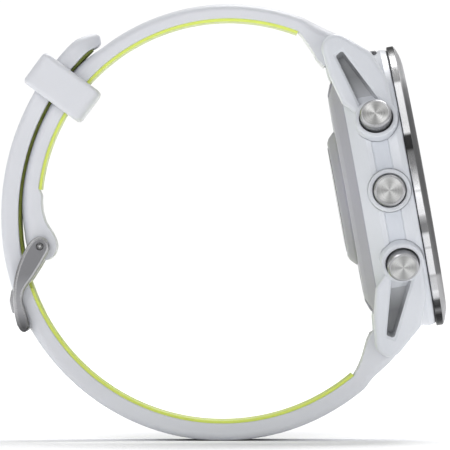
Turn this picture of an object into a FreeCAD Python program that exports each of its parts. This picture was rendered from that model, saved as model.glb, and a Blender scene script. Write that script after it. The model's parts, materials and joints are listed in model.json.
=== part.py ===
"""GPS running watch: a round 47 mm watch on a two-part silicone strap, buckled and standing on its loop.

Row frame, millimetres: X points the way the display faces, Y runs from the 9 o'clock to the 3 o'clock
side of the watch, Z is up. The strap loop stands on Z = 0 and Y = 0 is the watch's middle plane.
The case parts are drawn in the case's own frame (x = 3 o'clock, y = 12 o'clock, z = out of the display)
and the parts of a button in the button's frame (z = out along its stem, 0 on the rim of its boss).
"""
import FreeCAD, Part
import math
import os
import re
import Sketcher

os.makedirs("parts", exist_ok=True)
doc = FreeCAD.newDocument("gps_running_watch")
Vector = FreeCAD.Vector
Rotation = FreeCAD.Rotation
Placement = FreeCAD.Placement

# ---------------------------------------------------------------- driving dimensions (millimetres, degrees)
SIZES = {
    # where the case sits in the row frame
    "case_x": 26.6, "case_z": 41.25, "case_tilt": 10.3,
    # mid case: radii and levels along the display's normal
    "case_r": 23.2, "case_front": 4.24, "case_back": -4.48, "rim_round": 0.3, "rim_low": 3.32,
    "waist_r": 23.0, "chamfer_top": -2.0, "foot_r": 21.4, "cavity_r": 20.6, "flange_r": 18.2,
    "flange_top": -3.4, "panel_r": 22.85, "panel_top": 1.66, "panel_low": -1.0, "panel_sweep": 46.0,
    # lugs and spring bars
    "lug_in": 11.2, "lug_len": 8.6, "tip_r": 2.4, "bar_y": 24.65, "bar_z": -3.95, "tip_hole_r": 0.5,
    "lug_slant": 19.1, "slant_x": 19.66, "slant_y": 13.2, "slot_deep": 2.0,
    # buttons
    "button_z": 0.415, "button_pitch": 12.2, "button_angle": 27.0, "mid_rim": 24.2, "side_rim": 21.2,
    "boss_r": 3.55, "boss_len": 4.6, "cap_r": 2.6, "face_r": 2.2, "cap_out": 1.65, "cap_in": -0.95,
    "well_r": 2.79, "well_floor": -1.75, "stem_r": 0.8, "stem_bore_r": 0.85, "stem_end": -4.6,
    "pocket_r": 1.9, "pocket_top": 0.35, "seal_r": 1.35, "seal_low": -2.9, "seal_high": -2.3,
    "spot_r": 2.0, "spot_z": -3.5, "clip_r": 1.5, "clip_thick": 0.3, "clip_gap": 0.02, "groove_r": 0.55,
    "coil_wire": 0.12, "coil_r": 1.35, "switch_face": -5.16,
    # front stack
    "seal_in": 20.8, "seal_out": 22.9, "bezel_low": 4.4, "bezel_r": 23.5, "band_top": 5.55,
    "slope_r": 22.1, "slope_z": 6.2, "lip_z": 6.5, "ledge_r": 19.2, "ledge_z": 5.25, "seat_r": 20.45,
    "lens_r": 20.4, "lens_low": 5.35, "lens_top": 6.85, "lens_ball": 594.7, "panel_disc_r": 18.9,
    "panel_disc_low": 4.35, "panel_disc_high": 5.3, "glue_in": 19.3, "glue_out": 20.3,
    # inside the case
    "chassis_out": 16.8, "chassis_in": 15.9, "chassis_low": -4.3, "chassis_high": 3.9,
    "shelf_low": -0.7, "shelf_high": -0.1, "shelf_in": 4.0, "board_r": 15.7, "board_thick": 0.8,
    "antenna_in": 19.3, "antenna_out": 20.4, "antenna_low": 2.9, "antenna_high": 4.1,
    "cell_r": 15.4, "cell_flat": 6.9, "cell_low": -4.9, "cell_high": -1.0,
    "motor_y": 11.2, "motor_r": 4.0, "motor_low": -4.9, "motor_high": -2.2, "motor_wall": 0.25,
    "rotor_r": 3.5, "rotor_bore": 0.42, "rotor_low": -4.4, "rotor_high": -2.6, "motor_pin_r": 0.35,
    # back stack
    "cover_r": 21.3, "cover_mid_r": 18.9, "cover_mid_z": -6.0, "cover_flat_r": 17.4, "cover_low": -6.56,
    "cover_in_r": 16.6, "cover_in_z": -5.56, "neck_r": 9.95, "neck_hole_r": 10.0, "neck_top": -5.2,
    "ring_in": 20.1, "ring_out": 20.7, "ring_low": -4.8, "screw_x": 4.2, "screw_y": 18.1, "screw_r": 0.6,
    "screw_boss_r": 1.7, "screw_boss_top": -1.8, "screw_seat": -5.2, "screw_head_r": 1.1,
    "dome_r": 11.2, "dome_low": -8.06, "window_r": 8.9, "window_low": -8.18, "window_high": -7.3,
    "dome_board_r": 9.1, "dome_board_high": -6.0, "dome_step": -6.6,
    "port_y": -14.0, "port_wide": 5.6, "port_high": 3.6, "port_floor": -6.1,
    # flashlight at 12 o'clock
    "torch_wide": 8.8, "torch_low": 1.05, "torch_thick": 1.6, "torch_out": 23.45, "torch_in": 20.9,
    # strap half with the buckle: one circular arc from the upper lug to the buckle bar
    "near_x": 0.7, "near_z": 38.1, "near_out": 34.1, "near_mid": 31.7, "near_in": 31.2,
    "near_start": 56.8, "near_end": 190.9, "near_narrow": 95.0, "liner_start": 69.0, "liner_end": 173.8,
    # strap half with the holes: one arc round the bottom, then a wider one over the other half
    "far_x": -0.4, "far_z": 36.6, "far_out": 36.6, "far_mid": 33.77, "far_in": 33.27,
    "far_root": -36.56, "far_join": 186.7, "far_narrow": -75.0, "wrap_more": 4.4, "wrap_end": 130.0,
    "far_liner_root": -50.0,
    "wide": 21.8, "narrow": 20.4, "barrel_r": 2.14, "end_barrel_r": 2.4, "bar_bore_r": 1.0,
    "hole_r": 1.25,
    # buckle
    "pin_x": -30.6, "pin_z": 32.1, "pin_r": 0.6, "pin_bore_r": 0.65, "arm_in": 10.45, "arm_thick": 1.55,
    "arm_end_r": 1.75, "tongue_half": 1.3, "notch_half": 1.75, "tongue_barrel_r": 1.35,
    # keeper loop
    "keeper_angle": 143.7, "keeper_near": 28.5, "keeper_far": 40.1, "keeper_half": 12.6,
    "keeper_run": 6.2, "channel_near": 30.85, "channel_far": 38.25, "channel_half": 10.75,
    "keeper_round": 0.9,
    # spring bars with a quick-release pin
    "tube_r": 0.9, "tube_bore_r": 0.65, "tube_half": 9.8, "tip_r_small": 0.42, "tip_reach": 12.4,
    "tube_bore_deep": 14.4, "release_travel": 1.3, "lever_r": 0.45, "lever_at": -7.5, "lever_turn": 24.0,
    "lever_out": 2.7,
}

sheet = doc.addObject("Spreadsheet::Sheet", "Sizes")
for row, (alias, number) in enumerate(SIZES.items(), start=1):
    sheet.set(f"A{row}", alias)
    sheet.set(f"B{row}", str(number))
    sheet.setAlias(f"B{row}", alias)
doc.recompute()


def size(alias):
    """The number in the sheet's cell with this alias."""
    return float(sheet.get(alias))


def cells(text):
    """An expression with each dimension's name pointing at its cell."""
    return re.sub(r"[a-z]\w*", lambda m: f"Sizes.{m[0]}" if m[0] in SIZES else m[0], str(text))


def number(owner, text):
    """The value of an expression in dimension names."""
    return float(owner.evalExpression(cells(text)))


def bind(owner, **properties):
    """Tie properties of an object to expressions in dimension names."""
    for name, text in properties.items():
        owner.setExpression(name, cells(text))


# ---------------------------------------------------------------- frames
_tilt = math.radians(size("case_tilt"))
CASE = Placement(
    Vector(size("case_x"), 0, size("case_z")),
    Rotation(Vector(0, 1, 0), Vector(-math.sin(_tilt), 0, math.cos(_tilt)),
             Vector(math.cos(_tilt), 0, math.sin(_tilt)), "ZYX"),
)
ROW = Placement()
LEFT, RIGHT = -1, 1
BUTTONS = {"light": (LEFT, 1), "up": (LEFT, 0), "down": (LEFT, -1), "start": (RIGHT, 1), "back": (RIGHT, -1)}


def button_frame(side, level):
    """A button's frame in the case: origin on the rim of its boss, z out along its stem."""
    angle = math.radians(size("button_angle") * level)
    out = Vector(side * math.cos(angle), math.sin(angle), 0)
    rim = side * (size("side_rim") if level else size("mid_rim"))
    across = Vector(0, 0, 1).cross(out)
    return Placement(Vector(rim, level * size("button_pitch"), size("button_z")),
                     Rotation(across, Vector(0, 0, 1), out, "ZYX"))


# ---------------------------------------------------------------- modelling helpers
made = []


def keep(item, label, placement=ROW):
    """Name a finished sub-part and put it in its place."""
    item.Label = label
    item.Placement = placement
    made.append(item)
    return item


def new_body(name):
    """An empty body that may hold separate solids, as a group of equal fasteners does."""
    body = doc.addObject("PartDesign::Body", name)
    body.AllowCompound = True
    return body


def plane(body, role):
    """One of a body's own origin planes or axes."""
    return next(f for f in body.Origin.OriginFeatures if f.Role == role)


def empty_sketch(body, role, lift=None):
    """A sketch on an origin plane of its body, lifted or turned from it where asked."""
    sketch = body.newObject("Sketcher::SketchObject", "outline")
    sketch.AttachmentSupport = [(plane(body, role), "")]
    sketch.MapMode = "FlatFace"
    if lift is not None:
        sketch.AttachmentOffset = lift
    return sketch


def hold(sketch, kind, edge, end, text):
    """Hold one coordinate of a point by an expression in dimension names."""
    value = number(sketch, text)
    if abs(value) < 1e-9:
        axis = -2 if kind == "DistanceX" else -1
        sketch.addConstraint(Sketcher.Constraint("PointOnObject", edge, end, axis))
        return
    index = sketch.addConstraint(Sketcher.Constraint(kind, -1, 1, edge, end, value))
    sketch.setExpression(f"Constraints[{index}]", cells(text))


def draw(sketch, *steps):
    """A closed outline. A step is a corner (x, y), or ("ccw" or "cw", x, y) for an arc about that centre."""
    corners = [s for s in steps if len(s) == 2]
    points = [Vector(number(sketch, x), number(sketch, y), 0) for x, y in corners]
    bends, at = {}, -1
    for step in steps:
        if len(step) == 2:
            at += 1
        else:
            bends[at] = step
    first = sketch.GeometryCount
    count = len(points)
    for i, start in enumerate(points):
        end = points[(i + 1) % count]
        if i not in bends:
            sketch.addGeometry(Part.LineSegment(start, end))
            continue
        turn, cx, cy = bends[i]
        centre = Vector(number(sketch, cx), number(sketch, cy), 0)
        a = math.atan2(start.y - centre.y, start.x - centre.x)
        b = math.atan2(end.y - centre.y, end.x - centre.x)
        if turn == "cw":
            a, b = b, a
        if b <= a:
            b += 2 * math.pi
        circle = Part.Circle(centre, Vector(0, 0, 1), (start - centre).Length)
        sketch.addGeometry(Part.ArcOfCircle(circle, a, b))

    def ends(i):
        """The numbers of an edge's start and end points, along the outline."""
        return (2, 1) if i in bends and bends[i][0] == "cw" else (1, 2)

    for i in range(count):
        after = (i + 1) % count
        sketch.addConstraint(
            Sketcher.Constraint("Coincident", first + i, ends(i)[1], first + after, ends(after)[0]))
    for i, (x, y) in enumerate(corners):
        before = (i - 1) % count
        free = None
        if before in bends:
            centre = Vector(number(sketch, bends[before][1]), number(sketch, bends[before][2]), 0)
            arm = points[i] - centre
            free = "x" if abs(arm.y) < abs(arm.x) else "y"
        if free != "x":
            hold(sketch, "DistanceX", first + i, ends(i)[0], x)
        if free != "y":
            hold(sketch, "DistanceY", first + i, ends(i)[0], y)
    for i, (_, cx, cy) in bends.items():
        hold(sketch, "DistanceX", first + i, 3, cx)
        hold(sketch, "DistanceY", first + i, 3, cy)
    return sketch


def revolve(body, *steps, sweep=360, cut=False, middle=False):
    """Turn an outline in the xz plane about the body's z axis."""
    sketch = draw(empty_sketch(body, "XZ_Plane"), *steps)
    turned = body.newObject("PartDesign::Groove" if cut else "PartDesign::Revolution", "turned")
    turned.Profile = sketch
    turned.ReferenceAxis = (sketch, ["V_Axis"])
    turned.Angle = sweep
    turned.Midplane = middle
    doc.recompute()
    return turned


def pad(body, sketch, length, middle=False, back=False):
    """Thicken an outline."""
    padded = body.newObject("PartDesign::Pad", "pad")
    padded.Profile = sketch
    bind(padded, Length=length)
    padded.Midplane = middle
    padded.Reversed = back
    doc.recompute()
    return padded


def rod(body, radius, height, place=None, cut=False):
    """Add or cut a cylinder that starts at a place and runs along its z axis."""
    kind = "PartDesign::SubtractiveCylinder" if cut else "PartDesign::AdditiveCylinder"
    item = body.newObject(kind, "rod")
    bind(item, Radius=radius, Height=height)
    item.Placement = place or Placement()
    return item


def block(body, x, y, z, corner, turn=None, cut=False):
    """Add or cut a box from its low corner."""
    item = body.newObject("PartDesign::SubtractiveBox" if cut else "PartDesign::AdditiveBox", "block")
    bind(item, Length=x, Width=y, Height=z)
    item.Placement = Placement(Vector(*corner), turn or Rotation())
    return item


def tube(body, outer, inner, low, high):
    """A plain ring about z."""
    return revolve(body, (inner, low), (outer, low), (outer, high), (inner, high))


def soften(body, radius, wanted):
    """Round the edges of a body's last shape that a test picks."""
    doc.recompute()
    base = body.Tip
    names = [f"Edge{i}" for i, edge in enumerate(base.Shape.Edges, start=1) if wanted(edge)]
    if not names:
        raise RuntimeError(f"{body.Label}: no edge to round")
    rounded = body.newObject("PartDesign::Fillet", "rounded")
    rounded.Base = (base, names)
    bind(rounded, Radius=radius)
    doc.recompute()
    if rounded.Shape.isNull() or not rounded.Shape.isValid():
        raise RuntimeError(f"{body.Label}: the rounding failed")
    return rounded


def along(x, y, z):
    """A frame at the origin whose z axis points along this direction."""
    return Rotation(Vector(0, 0, 1), Vector(x, y, z))


def place(x, y, z, turn=None):
    return Placement(Vector(x, y, z), turn or Rotation())


def level(z):
    return place(0, 0, z)


def parallel_to(direction):
    """A test for straight edges along a direction."""
    def test(edge):
        if edge.Curve.TypeId != "Part::GeomLine":
            return False
        return abs(abs(edge.Curve.Direction.dot(direction)) - 1) < 1e-6
    return test


def group(label, items, placement=ROW):
    """Separate equal solids under one name."""
    compound = doc.addObject("Part::Compound", label)
    compound.Links = items
    return keep(compound, label, placement)


def solid_box(x, y, z, corner):
    item = doc.addObject("Part::Box", "piece")
    item.Length, item.Width, item.Height = x, y, z
    item.Placement = place(*corner)
    return item


def solid_rod(radius, height, at):
    item = doc.addObject("Part::Cylinder", "piece")
    item.Radius, item.Height = radius, height
    item.Placement = at
    return item


# ---------------------------------------------------------------- mid case
def mid_case():
    body = new_body("mid_case")
    revolve(body,
            ("cavity_r", "case_front"), ("case_r - rim_round", "case_front"),
            ("case_r", "case_front - rim_round"), ("case_r", "rim_low"), ("waist_r", "panel_top"),
            ("waist_r", "chamfer_top"), ("foot_r", "case_back"), ("flange_r", "case_back"),
            ("flange_r", "flange_top"), ("cavity_r", "flange_top"))
    for side in (LEFT, RIGHT):
        reach = Placement(Vector(0, 0, side * size("lug_in")), Rotation())
        sketch = empty_sketch(body, "YZ_Plane", reach)
        for end in (1, -1):
            lug_outline(sketch, end)
        pad(body, sketch, "lug_len", back=side == LEFT)
    for side in (LEFT, RIGHT):
        for end in (1, -1):
            slant_lug(body, side, end)
    for side, step in BUTTONS.values():
        frame = button_frame(side, step)
        rod(body, "boss_r", "boss_len", frame * level(-size("boss_len")))
    rod(body, "cavity_r", "case_front + 2 - flange_top", level(size("flange_top")), cut=True)
    rod(body, "flange_r", "6", level(size("case_back") - 2), cut=True)
    rod(body, "foot_r + 0.05", "4", level(size("case_back") - 4), cut=True)
    for x in (-1, 1):
        for y in (-1, 1):
            at = place(x * size("screw_x"), y * size("screw_y"), size("case_back"))
            rod(body, "screw_boss_r", "screw_boss_top - case_back", at)
            rod(body, "screw_r", "2.3", at * level(-0.1), cut=True)
    for side, step in BUTTONS.values():
        frame = button_frame(side, step)
        rod(body, "well_r", "4", frame * level(size("well_floor")), cut=True)
        rod(body, "stem_bore_r", "6", frame * level(size("spot_z") - 2), cut=True)
        rod(body, "seal_r", "seal_high - seal_low", frame * level(size("seal_low")), cut=True)
        rod(body, "spot_r", "3", frame * level(size("spot_z") - 3), cut=True)
    half = size("tip_reach") + 0.2
    for end in (1, -1):
        at = place(-half, end * size("bar_y"), size("bar_z"), along(1, 0, 0))
        rod(body, "tip_hole_r", "2 * (tip_reach + 0.2)", at, cut=True)
    doc.recompute()
    for side in (LEFT, RIGHT):
        for end in (1, -1):
            lug_slot(body, side, end)
    block(body, "torch_wide + 0.1", "4", "torch_thick + 0.1",
          (-size("torch_wide") / 2 - 0.05, 19.9, size("torch_low") - 0.05), cut=True)
    doc.recompute()
    return keep(body, "mid_case", CASE)


def lug_outline(sketch, end):
    """The side outline of a lug: two flanks that meet in a round tip about the spring bar."""
    sign = f"{end} * "
    turn = "cw" if end > 0 else "ccw"
    draw(sketch,
         (sign + "12.6", "3.75"), (sign + "18.5", "3.3"), (sign + "22.95", "1.6"),
         (sign + "(bar_y + tip_r * cos(38))", "bar_z + tip_r * sin(38)"),
         (turn, sign + "bar_y", "bar_z"),
         (sign + "(bar_y + tip_r * cos(110))", "bar_z - tip_r * sin(110)"),
         (sign + "20.3", "-5.85"), (sign + "15.4", "-4.6"), (sign + "12.6", "-2"))


def slant_lug(body, side, end):
    """Bring a lug's outer face in towards its tip."""
    sketch = empty_sketch(body, "XY_Plane", Placement(Vector(0, 0, 8), Rotation()))
    steep = "tan(lug_slant)"
    draw(sketch,
         (f"{side} * slant_x", f"{end} * slant_y"),
         (f"{side} * (slant_x - 16 * {steep})", f"{end} * (slant_y + 16)"),
         (f"{side} * 24", f"{end} * (slant_y + 16)"), (f"{side} * 24", f"{end} * slant_y"))
    before = body.Tip.Shape.Volume
    pocket = body.newObject("PartDesign::Pocket", "slant")
    pocket.Profile = sketch
    pocket.Length = 16
    doc.recompute()
    if pocket.Shape.Volume > before - 5:
        raise RuntimeError("the slanted cut missed the lug")


def lug_slot(body, side, end):
    """The long tapered recess in a lug's outer face."""
    turn = side * end * size("lug_slant")
    lift = Placement(Vector(end * size("slant_y"), 0, side * size("slant_x")),
                     Rotation(Vector(0, 1, 0), turn))
    sketch = empty_sketch(body, "YZ_Plane", lift)
    draw(sketch,
         (f"{end} * 1.2", "-1.5"), (f"{end} * 1.9", "1.3"),
         (f"{end} * 11.3", "-3.15"), (f"{end} * 10.7", "-4.15"))
    before = body.Tip.Shape.Volume
    pocket = body.newObject("PartDesign::Pocket", "slot")
    pocket.Profile = sketch
    bind(pocket, Length="slot_deep")
    pocket.Reversed = side == LEFT
    doc.recompute()
    if pocket.Shape.Volume > before - 5:
        raise RuntimeError("the slot missed the lug")


# ---------------------------------------------------------------- front stack
def front_stack():
    body = new_body("front_gasket")
    tube(body, "seal_out", "seal_in", "case_front", "bezel_low")
    keep(body, "front_gasket", CASE)

    body = new_body("bezel_ring")
    revolve(body,
            ("ledge_r", "bezel_low"), ("bezel_r - 0.08", "bezel_low"), ("bezel_r", "bezel_low + 0.08"),
            ("bezel_r", "band_top"), ("slope_r", "slope_z"), ("seat_r", "lip_z"), ("seat_r", "ledge_z"),
            ("ledge_r", "ledge_z"))
    keep(body, "bezel_ring", CASE)

    body = new_body("lens_glass")
    revolve(body,
            ("0", "lens_low"), ("lens_r", "lens_low"), ("lens_r", "lip_z"),
            ("ccw", "0", "lens_top - lens_ball"), ("0", "lens_top"))
    keep(body, "lens_glass", CASE)

    body = new_body("lens_adhesive")
    tube(body, "glue_out", "glue_in", "ledge_z", "lens_low")
    keep(body, "lens_adhesive", CASE)

    body = new_body("display_panel")
    rod(body, "panel_disc_r", "panel_disc_high - panel_disc_low", level(size("panel_disc_low")))
    keep(body, "display_panel", CASE)

    body = new_body("display_flex")
    sketch = draw(empty_sketch(body, "YZ_Plane"),
                  ("-15.3", "board_thick"), ("-13", "board_thick"), ("-13", "board_thick + 0.15"),
                  ("-15.15", "board_thick + 0.15"), ("-15.15", "4.15"), ("-13", "4.15"), ("-13", "4.3"),
                  ("-15.3", "4.3"))
    pad(body, sketch, "5", middle=True)
    keep(body, "display_flex", CASE)


# ---------------------------------------------------------------- inside the case
def electronics():
    body = new_body("chassis_frame")
    revolve(body,
            ("chassis_in", "chassis_high"), ("chassis_in", "shelf_high"), ("shelf_in", "shelf_high"),
            ("shelf_in", "shelf_low"), ("chassis_in", "shelf_low"), ("chassis_in", "chassis_low"),
            ("chassis_out", "chassis_low"), ("chassis_out", "chassis_high"))
    keep(body, "chassis_frame", CASE)

    body = new_body("antenna_ring")
    revolve(body,
            ("antenna_in", "antenna_low"), ("antenna_out", "antenna_low"),
            ("antenna_out", "antenna_high"), ("antenna_in", "antenna_high"), sweep=345)
    keep(body, "antenna_ring", CASE)

    body = new_body("main_board")
    rod(body, "board_r", "board_thick", level(0))
    keep(body, "main_board", CASE)

    top = size("board_thick")
    chips = [(7, 7, 1.0, -8.5, -3.5), (5, 4, 0.8, -6, 5.5), (3, 3, 0.8, 1.5, -9.5), (2.4, 2.4, 0.7, 6, -8),
             (3.2, 2.5, 0.9, 1, 9.5)]
    group("board_chips", [solid_box(x, y, z, (at_x, at_y, top)) for x, y, z, at_x, at_y in chips], CASE)

    body = new_body("shield_can")
    block(body, "10", "8", "1.6", (1.5, -4, top))
    block(body, "9.5", "7.5", "1.35", (1.75, -3.75, top), cut=True)
    keep(body, "shield_can", CASE)

    body = new_body("battery_cell")
    sketch = empty_sketch(body, "XY_Plane", level(size("cell_low")))
    chord = "sqrt(cell_r ^ 2 - cell_flat ^ 2)"
    draw(sketch, (f"-{chord}", "cell_flat"), ("ccw", "0", "0"), (chord, "cell_flat"))
    pad(body, sketch, "cell_high - cell_low")
    keep(body, "battery_cell", CASE)

    motor = CASE * place(0, size("motor_y"), 0)
    body = new_body("motor_can")
    revolve(body,
            ("0", "motor_low"), ("motor_r", "motor_low"), ("motor_r", "motor_high"),
            ("motor_r - motor_wall", "motor_high"), ("motor_r - motor_wall", "motor_low + motor_wall"),
            ("motor_pin_r", "motor_low + motor_wall"), ("motor_pin_r", "motor_high"), ("0", "motor_high"))
    keep(body, "motor_can", motor)

    body = new_body("motor_rotor")
    revolve(body,
            ("rotor_bore", "rotor_low"), ("rotor_r", "rotor_low"), ("rotor_r", "rotor_high"),
            ("rotor_bore", "rotor_high"), sweep=200)
    revolve(body,
            ("rotor_bore", "rotor_low"), ("1.1", "rotor_low"), ("1.1", "rotor_high"),
            ("rotor_bore", "rotor_high"))
    keep(body, "motor_rotor", motor)

    body = new_body("beeper_disc")
    rod(body, "2.9", "0.4", place(-9.3, 9.3, size("cover_in_z")))
    keep(body, "beeper_disc", CASE)


# ---------------------------------------------------------------- back stack
def back_stack():
    body = new_body("back_cover")
    revolve(body,
            ("neck_hole_r", "cover_low"), ("cover_flat_r", "cover_low"), ("cover_mid_r", "cover_mid_z"),
            ("cover_r", "case_back - 0.1"), ("cover_r", "case_back"), ("cover_in_r", "case_back"),
            ("cover_in_r", "cover_in_z"), ("neck_hole_r", "cover_in_z"))
    revolve(body,
            ("ring_in", "ring_low"), ("ring_out", "ring_low"), ("ring_out", "case_back + 1"),
            ("ring_in", "case_back + 1"), cut=True)
    for x in (-1, 1):
        for y in (-1, 1):
            at = place(x * size("screw_x"), y * size("screw_y"), size("screw_seat") - 3)
            rod(body, "screw_head_r + 0.15", "3", at, cut=True)
            rod(body, "screw_r + 0.05", "5", at, cut=True)
    block(body, "port_wide + 0.1", "port_high + 0.1", "3",
          (-size("port_wide") / 2 - 0.05, size("port_y") - size("port_high") / 2 - 0.05, -7.5), cut=True)
    doc.recompute()
    keep(body, "back_cover", CASE)

    body = new_body("back_gasket")
    tube(body, "ring_out - 0.02", "ring_in + 0.02", "ring_low", "case_back")
    keep(body, "back_gasket", CASE)

    body = new_body("back_screws")
    for x in (-1, 1):
        for y in (-1, 1):
            seat = place(x * size("screw_x"), y * size("screw_y"), size("screw_seat"))
            rod(body, "screw_head_r", "0.45", seat * level(-0.45))
            rod(body, "screw_r - 0.02", "2.8", seat)
            rod(body, "0.45", "0.3", seat * level(-0.5), cut=True)
    doc.recompute()
    keep(body, "back_screws", CASE)

    body = new_body("sensor_housing")
    revolve(body,
            ("dome_r", "cover_low"), ("dome_r - 0.15", "cover_low - 0.4"), ("10.2", "-7.75"),
            ("9.5", "dome_low"), ("window_r + 0.05", "dome_low"), ("window_r + 0.05", "window_high"),
            ("8.2", "window_high"), ("8.2", "dome_step"), ("dome_board_r + 0.05", "dome_step"),
            ("dome_board_r + 0.05", "neck_top"), ("neck_r", "neck_top"), ("neck_r", "cover_low"))
    keep(body, "sensor_housing", CASE)

    body = new_body("sensor_window")
    revolve(body,
            ("0", "window_high"), ("window_r", "window_high"), ("window_r", "window_low + 0.12"),
            ("window_r - 0.25", "window_low"), ("0", "window_low"))
    keep(body, "sensor_window", CASE)

    body = new_body("sensor_board")
    rod(body, "dome_board_r", "dome_board_high - dome_step", level(size("dome_step")))
    keep(body, "sensor_board", CASE)

    eyes = []
    for turn in range(0, 360, 60):
        x, y = 5 * math.cos(math.radians(turn)), 5 * math.sin(math.radians(turn))
        eyes.append(solid_box(1.5, 1.5, 0.5, (x - 0.75, y - 0.75, size("dome_step") - 0.5)))
    eyes.append(solid_box(2.4, 2.4, 0.5, (-1.2, -1.2, size("dome_step") - 0.5)))
    group("sensor_leds", eyes, CASE)

    body = new_body("charge_port")
    block(body, "port_wide", "port_high", "1",
          (-size("port_wide") / 2, size("port_y") - size("port_high") / 2, size("port_floor")))
    keep(body, "charge_port", CASE)
    pins = [solid_rod(0.35, 0.3, place(1.3 * (i - 1.5), size("port_y"), size("port_floor") - 0.3))
            for i in range(4)]
    group("charge_contacts", pins, CASE)

    body = new_body("flashlight_lens")
    block(body, "torch_wide", "torch_out - torch_in", "torch_thick",
          (-size("torch_wide") / 2, size("torch_in"), size("torch_low")))
    soften(body, "0.5", lambda e: parallel_to(Vector(0, 1, 0))(e))
    keep(body, "flashlight_lens", CASE)
    lamps = [solid_box(1.8, 0.8, 1.1, (x - 0.9, size("torch_in") - 0.85, size("torch_low") + 0.25))
             for x in (-2.8, 0, 2.8)]
    group("flashlight_leds", lamps, CASE)


# ---------------------------------------------------------------- buttons
def coil(name, radius, wire, length, turns, placement):
    """A closed-end compression spring along z, starting at z = 0."""
    path = doc.addObject("Part::Helix", name + "_path")
    path.Radius = radius
    path.Height = length - 2 * wire
    path.Pitch = (length - 2 * wire) / turns
    section = doc.addObject("Part::RegularPolygon", name + "_section")
    section.Polygon = 12
    section.Circumradius = wire
    section.Placement = place(radius, 0, 0, along(0, 1, 0))
    wound = doc.addObject("Part::Sweep", name)
    wound.Sections = [section]
    wound.Spine = (path, ["Edge1"])
    wound.Solid = True
    wound.Frenet = True
    return keep(wound, name, placement * level(wire))


def buttons():
    seals, switches = [], []
    for name, (side, step) in BUTTONS.items():
        frame = button_frame(side, step)
        body = new_body(f"button_{name}")
        revolve(body,
                ("0", "cap_out"), ("face_r", "cap_out"), ("cap_r", "cap_out - 0.4"), ("cap_r", "cap_in"),
                ("pocket_r", "cap_in"), ("pocket_r", "pocket_top"), ("stem_r", "pocket_top"),
                ("stem_r", "spot_z - clip_gap"), ("groove_r", "spot_z - clip_gap"),
                ("groove_r", "spot_z - clip_gap - clip_thick"), ("stem_r", "spot_z - clip_gap - clip_thick"),
                ("stem_r", "stem_end"), ("0", "stem_end"))
        keep(body, f"button_{name}", CASE * frame)

        body = new_body(f"clip_{name}")
        clip_low = size("spot_z") - size("clip_gap") - size("clip_thick")
        rod(body, "clip_r", "clip_thick", level(clip_low))
        rod(body, "groove_r + 0.01", "clip_thick", level(clip_low), cut=True)
        block(body, "0.9", "2", "clip_thick", (-0.45, 0, clip_low), cut=True)
        keep(body, f"clip_{name}", CASE * frame)

        gap = size("pocket_top") - size("well_floor")
        coil(f"spring_{name}", size("coil_r"), size("coil_wire"), gap - 0.04, 3.5,
             CASE * frame * level(size("well_floor") + 0.02))

        ring = doc.addObject("Part::Cut", "seal")
        ring.Base = solid_rod(size("seal_r") - 0.02, 0.5, frame * level(size("seal_low") + 0.05))
        ring.Tool = solid_rod(size("stem_r") + 0.02, 0.5, frame * level(size("seal_low") + 0.05))
        seals.append(ring)

        key = doc.addObject("Part::Fuse", "switch")
        key.Base = solid_rod(0.7, 0.2, frame * level(size("switch_face") - 0.2))
        key.Tool = solid_box(3.2, 2.4, 1.2, (-1.6, -1.2, 0))
        key.Tool.Placement = frame * place(-1.6, -1.2, size("switch_face") - 1.4)
        switches.append(key)
    group("button_seals", seals, CASE)
    group("button_switches", switches, CASE)


# ---------------------------------------------------------------- strap
def sector(body, centre, inner, outer, start, end, width):
    """A flat strip bent round a centre (two names), between two angles from +X towards +Z."""
    cx, cz = centre
    def on(radius, angle):
        return (f"{cx} + ({radius}) * cos({angle})", f"{cz} + ({radius}) * sin({angle})")
    sketch = draw(empty_sketch(body, "XZ_Plane"),
                  on(outer, start), ("ccw", cx, cz), on(outer, end),
                  on(inner, end), ("cw", cx, cz), on(inner, start))
    return pad(body, sketch, width, middle=True)


def across(x, z, half):
    """A frame at a point of the strap's side view whose z axis runs across the strap."""
    return place(x, -half, z, along(0, 1, 0))


def on_case(y, z):
    """Where a point of the case's own yz plane lies in the row frame."""
    return CASE.multVec(Vector(0, y, z))


NEAR = ("near_x", "near_z")
FAR = ("far_x", "far_z")
WRAP = ("(far_x - wrap_more * cos(far_join))", "(far_z - wrap_more * sin(far_join))")
UPPER_BAR = on_case(size("bar_y"), size("bar_z"))
LOWER_BAR = on_case(-size("bar_y"), size("bar_z"))
HOLE_STEP = 9.6
HOLES_FAR = [196.5 + HOLE_STEP * i for i in range(1, 6)]
HOLES_WRAP = [184.2 - HOLE_STEP * 0.9 * i for i in range(0, 6)]


def bar_frame(end):
    """A spring bar's frame in the row: x along the bar, -z along its release lever."""
    lean = Rotation(Vector(1, 0, 0), -end * size("lever_turn"))
    return CASE * place(0, end * size("bar_y"), size("bar_z"), lean)


def lever_slot(body, end):
    """The slot in a strap's inner face through which the release lever is reached."""
    frame = bar_frame(end)
    way = frame.Rotation.multVec(Vector(0, 0, -1))
    turn = Rotation(Vector(0, 1, 0), math.degrees(math.atan2(-way.z, way.x)))
    corner = frame.Base + turn.multVec(Vector(0, 0, -0.8)) + Vector(0, size("lever_at") - 0.9, 0)
    block(body, "6", "release_travel + 1.8", "1.6", corner, turn, cut=True)


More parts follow.
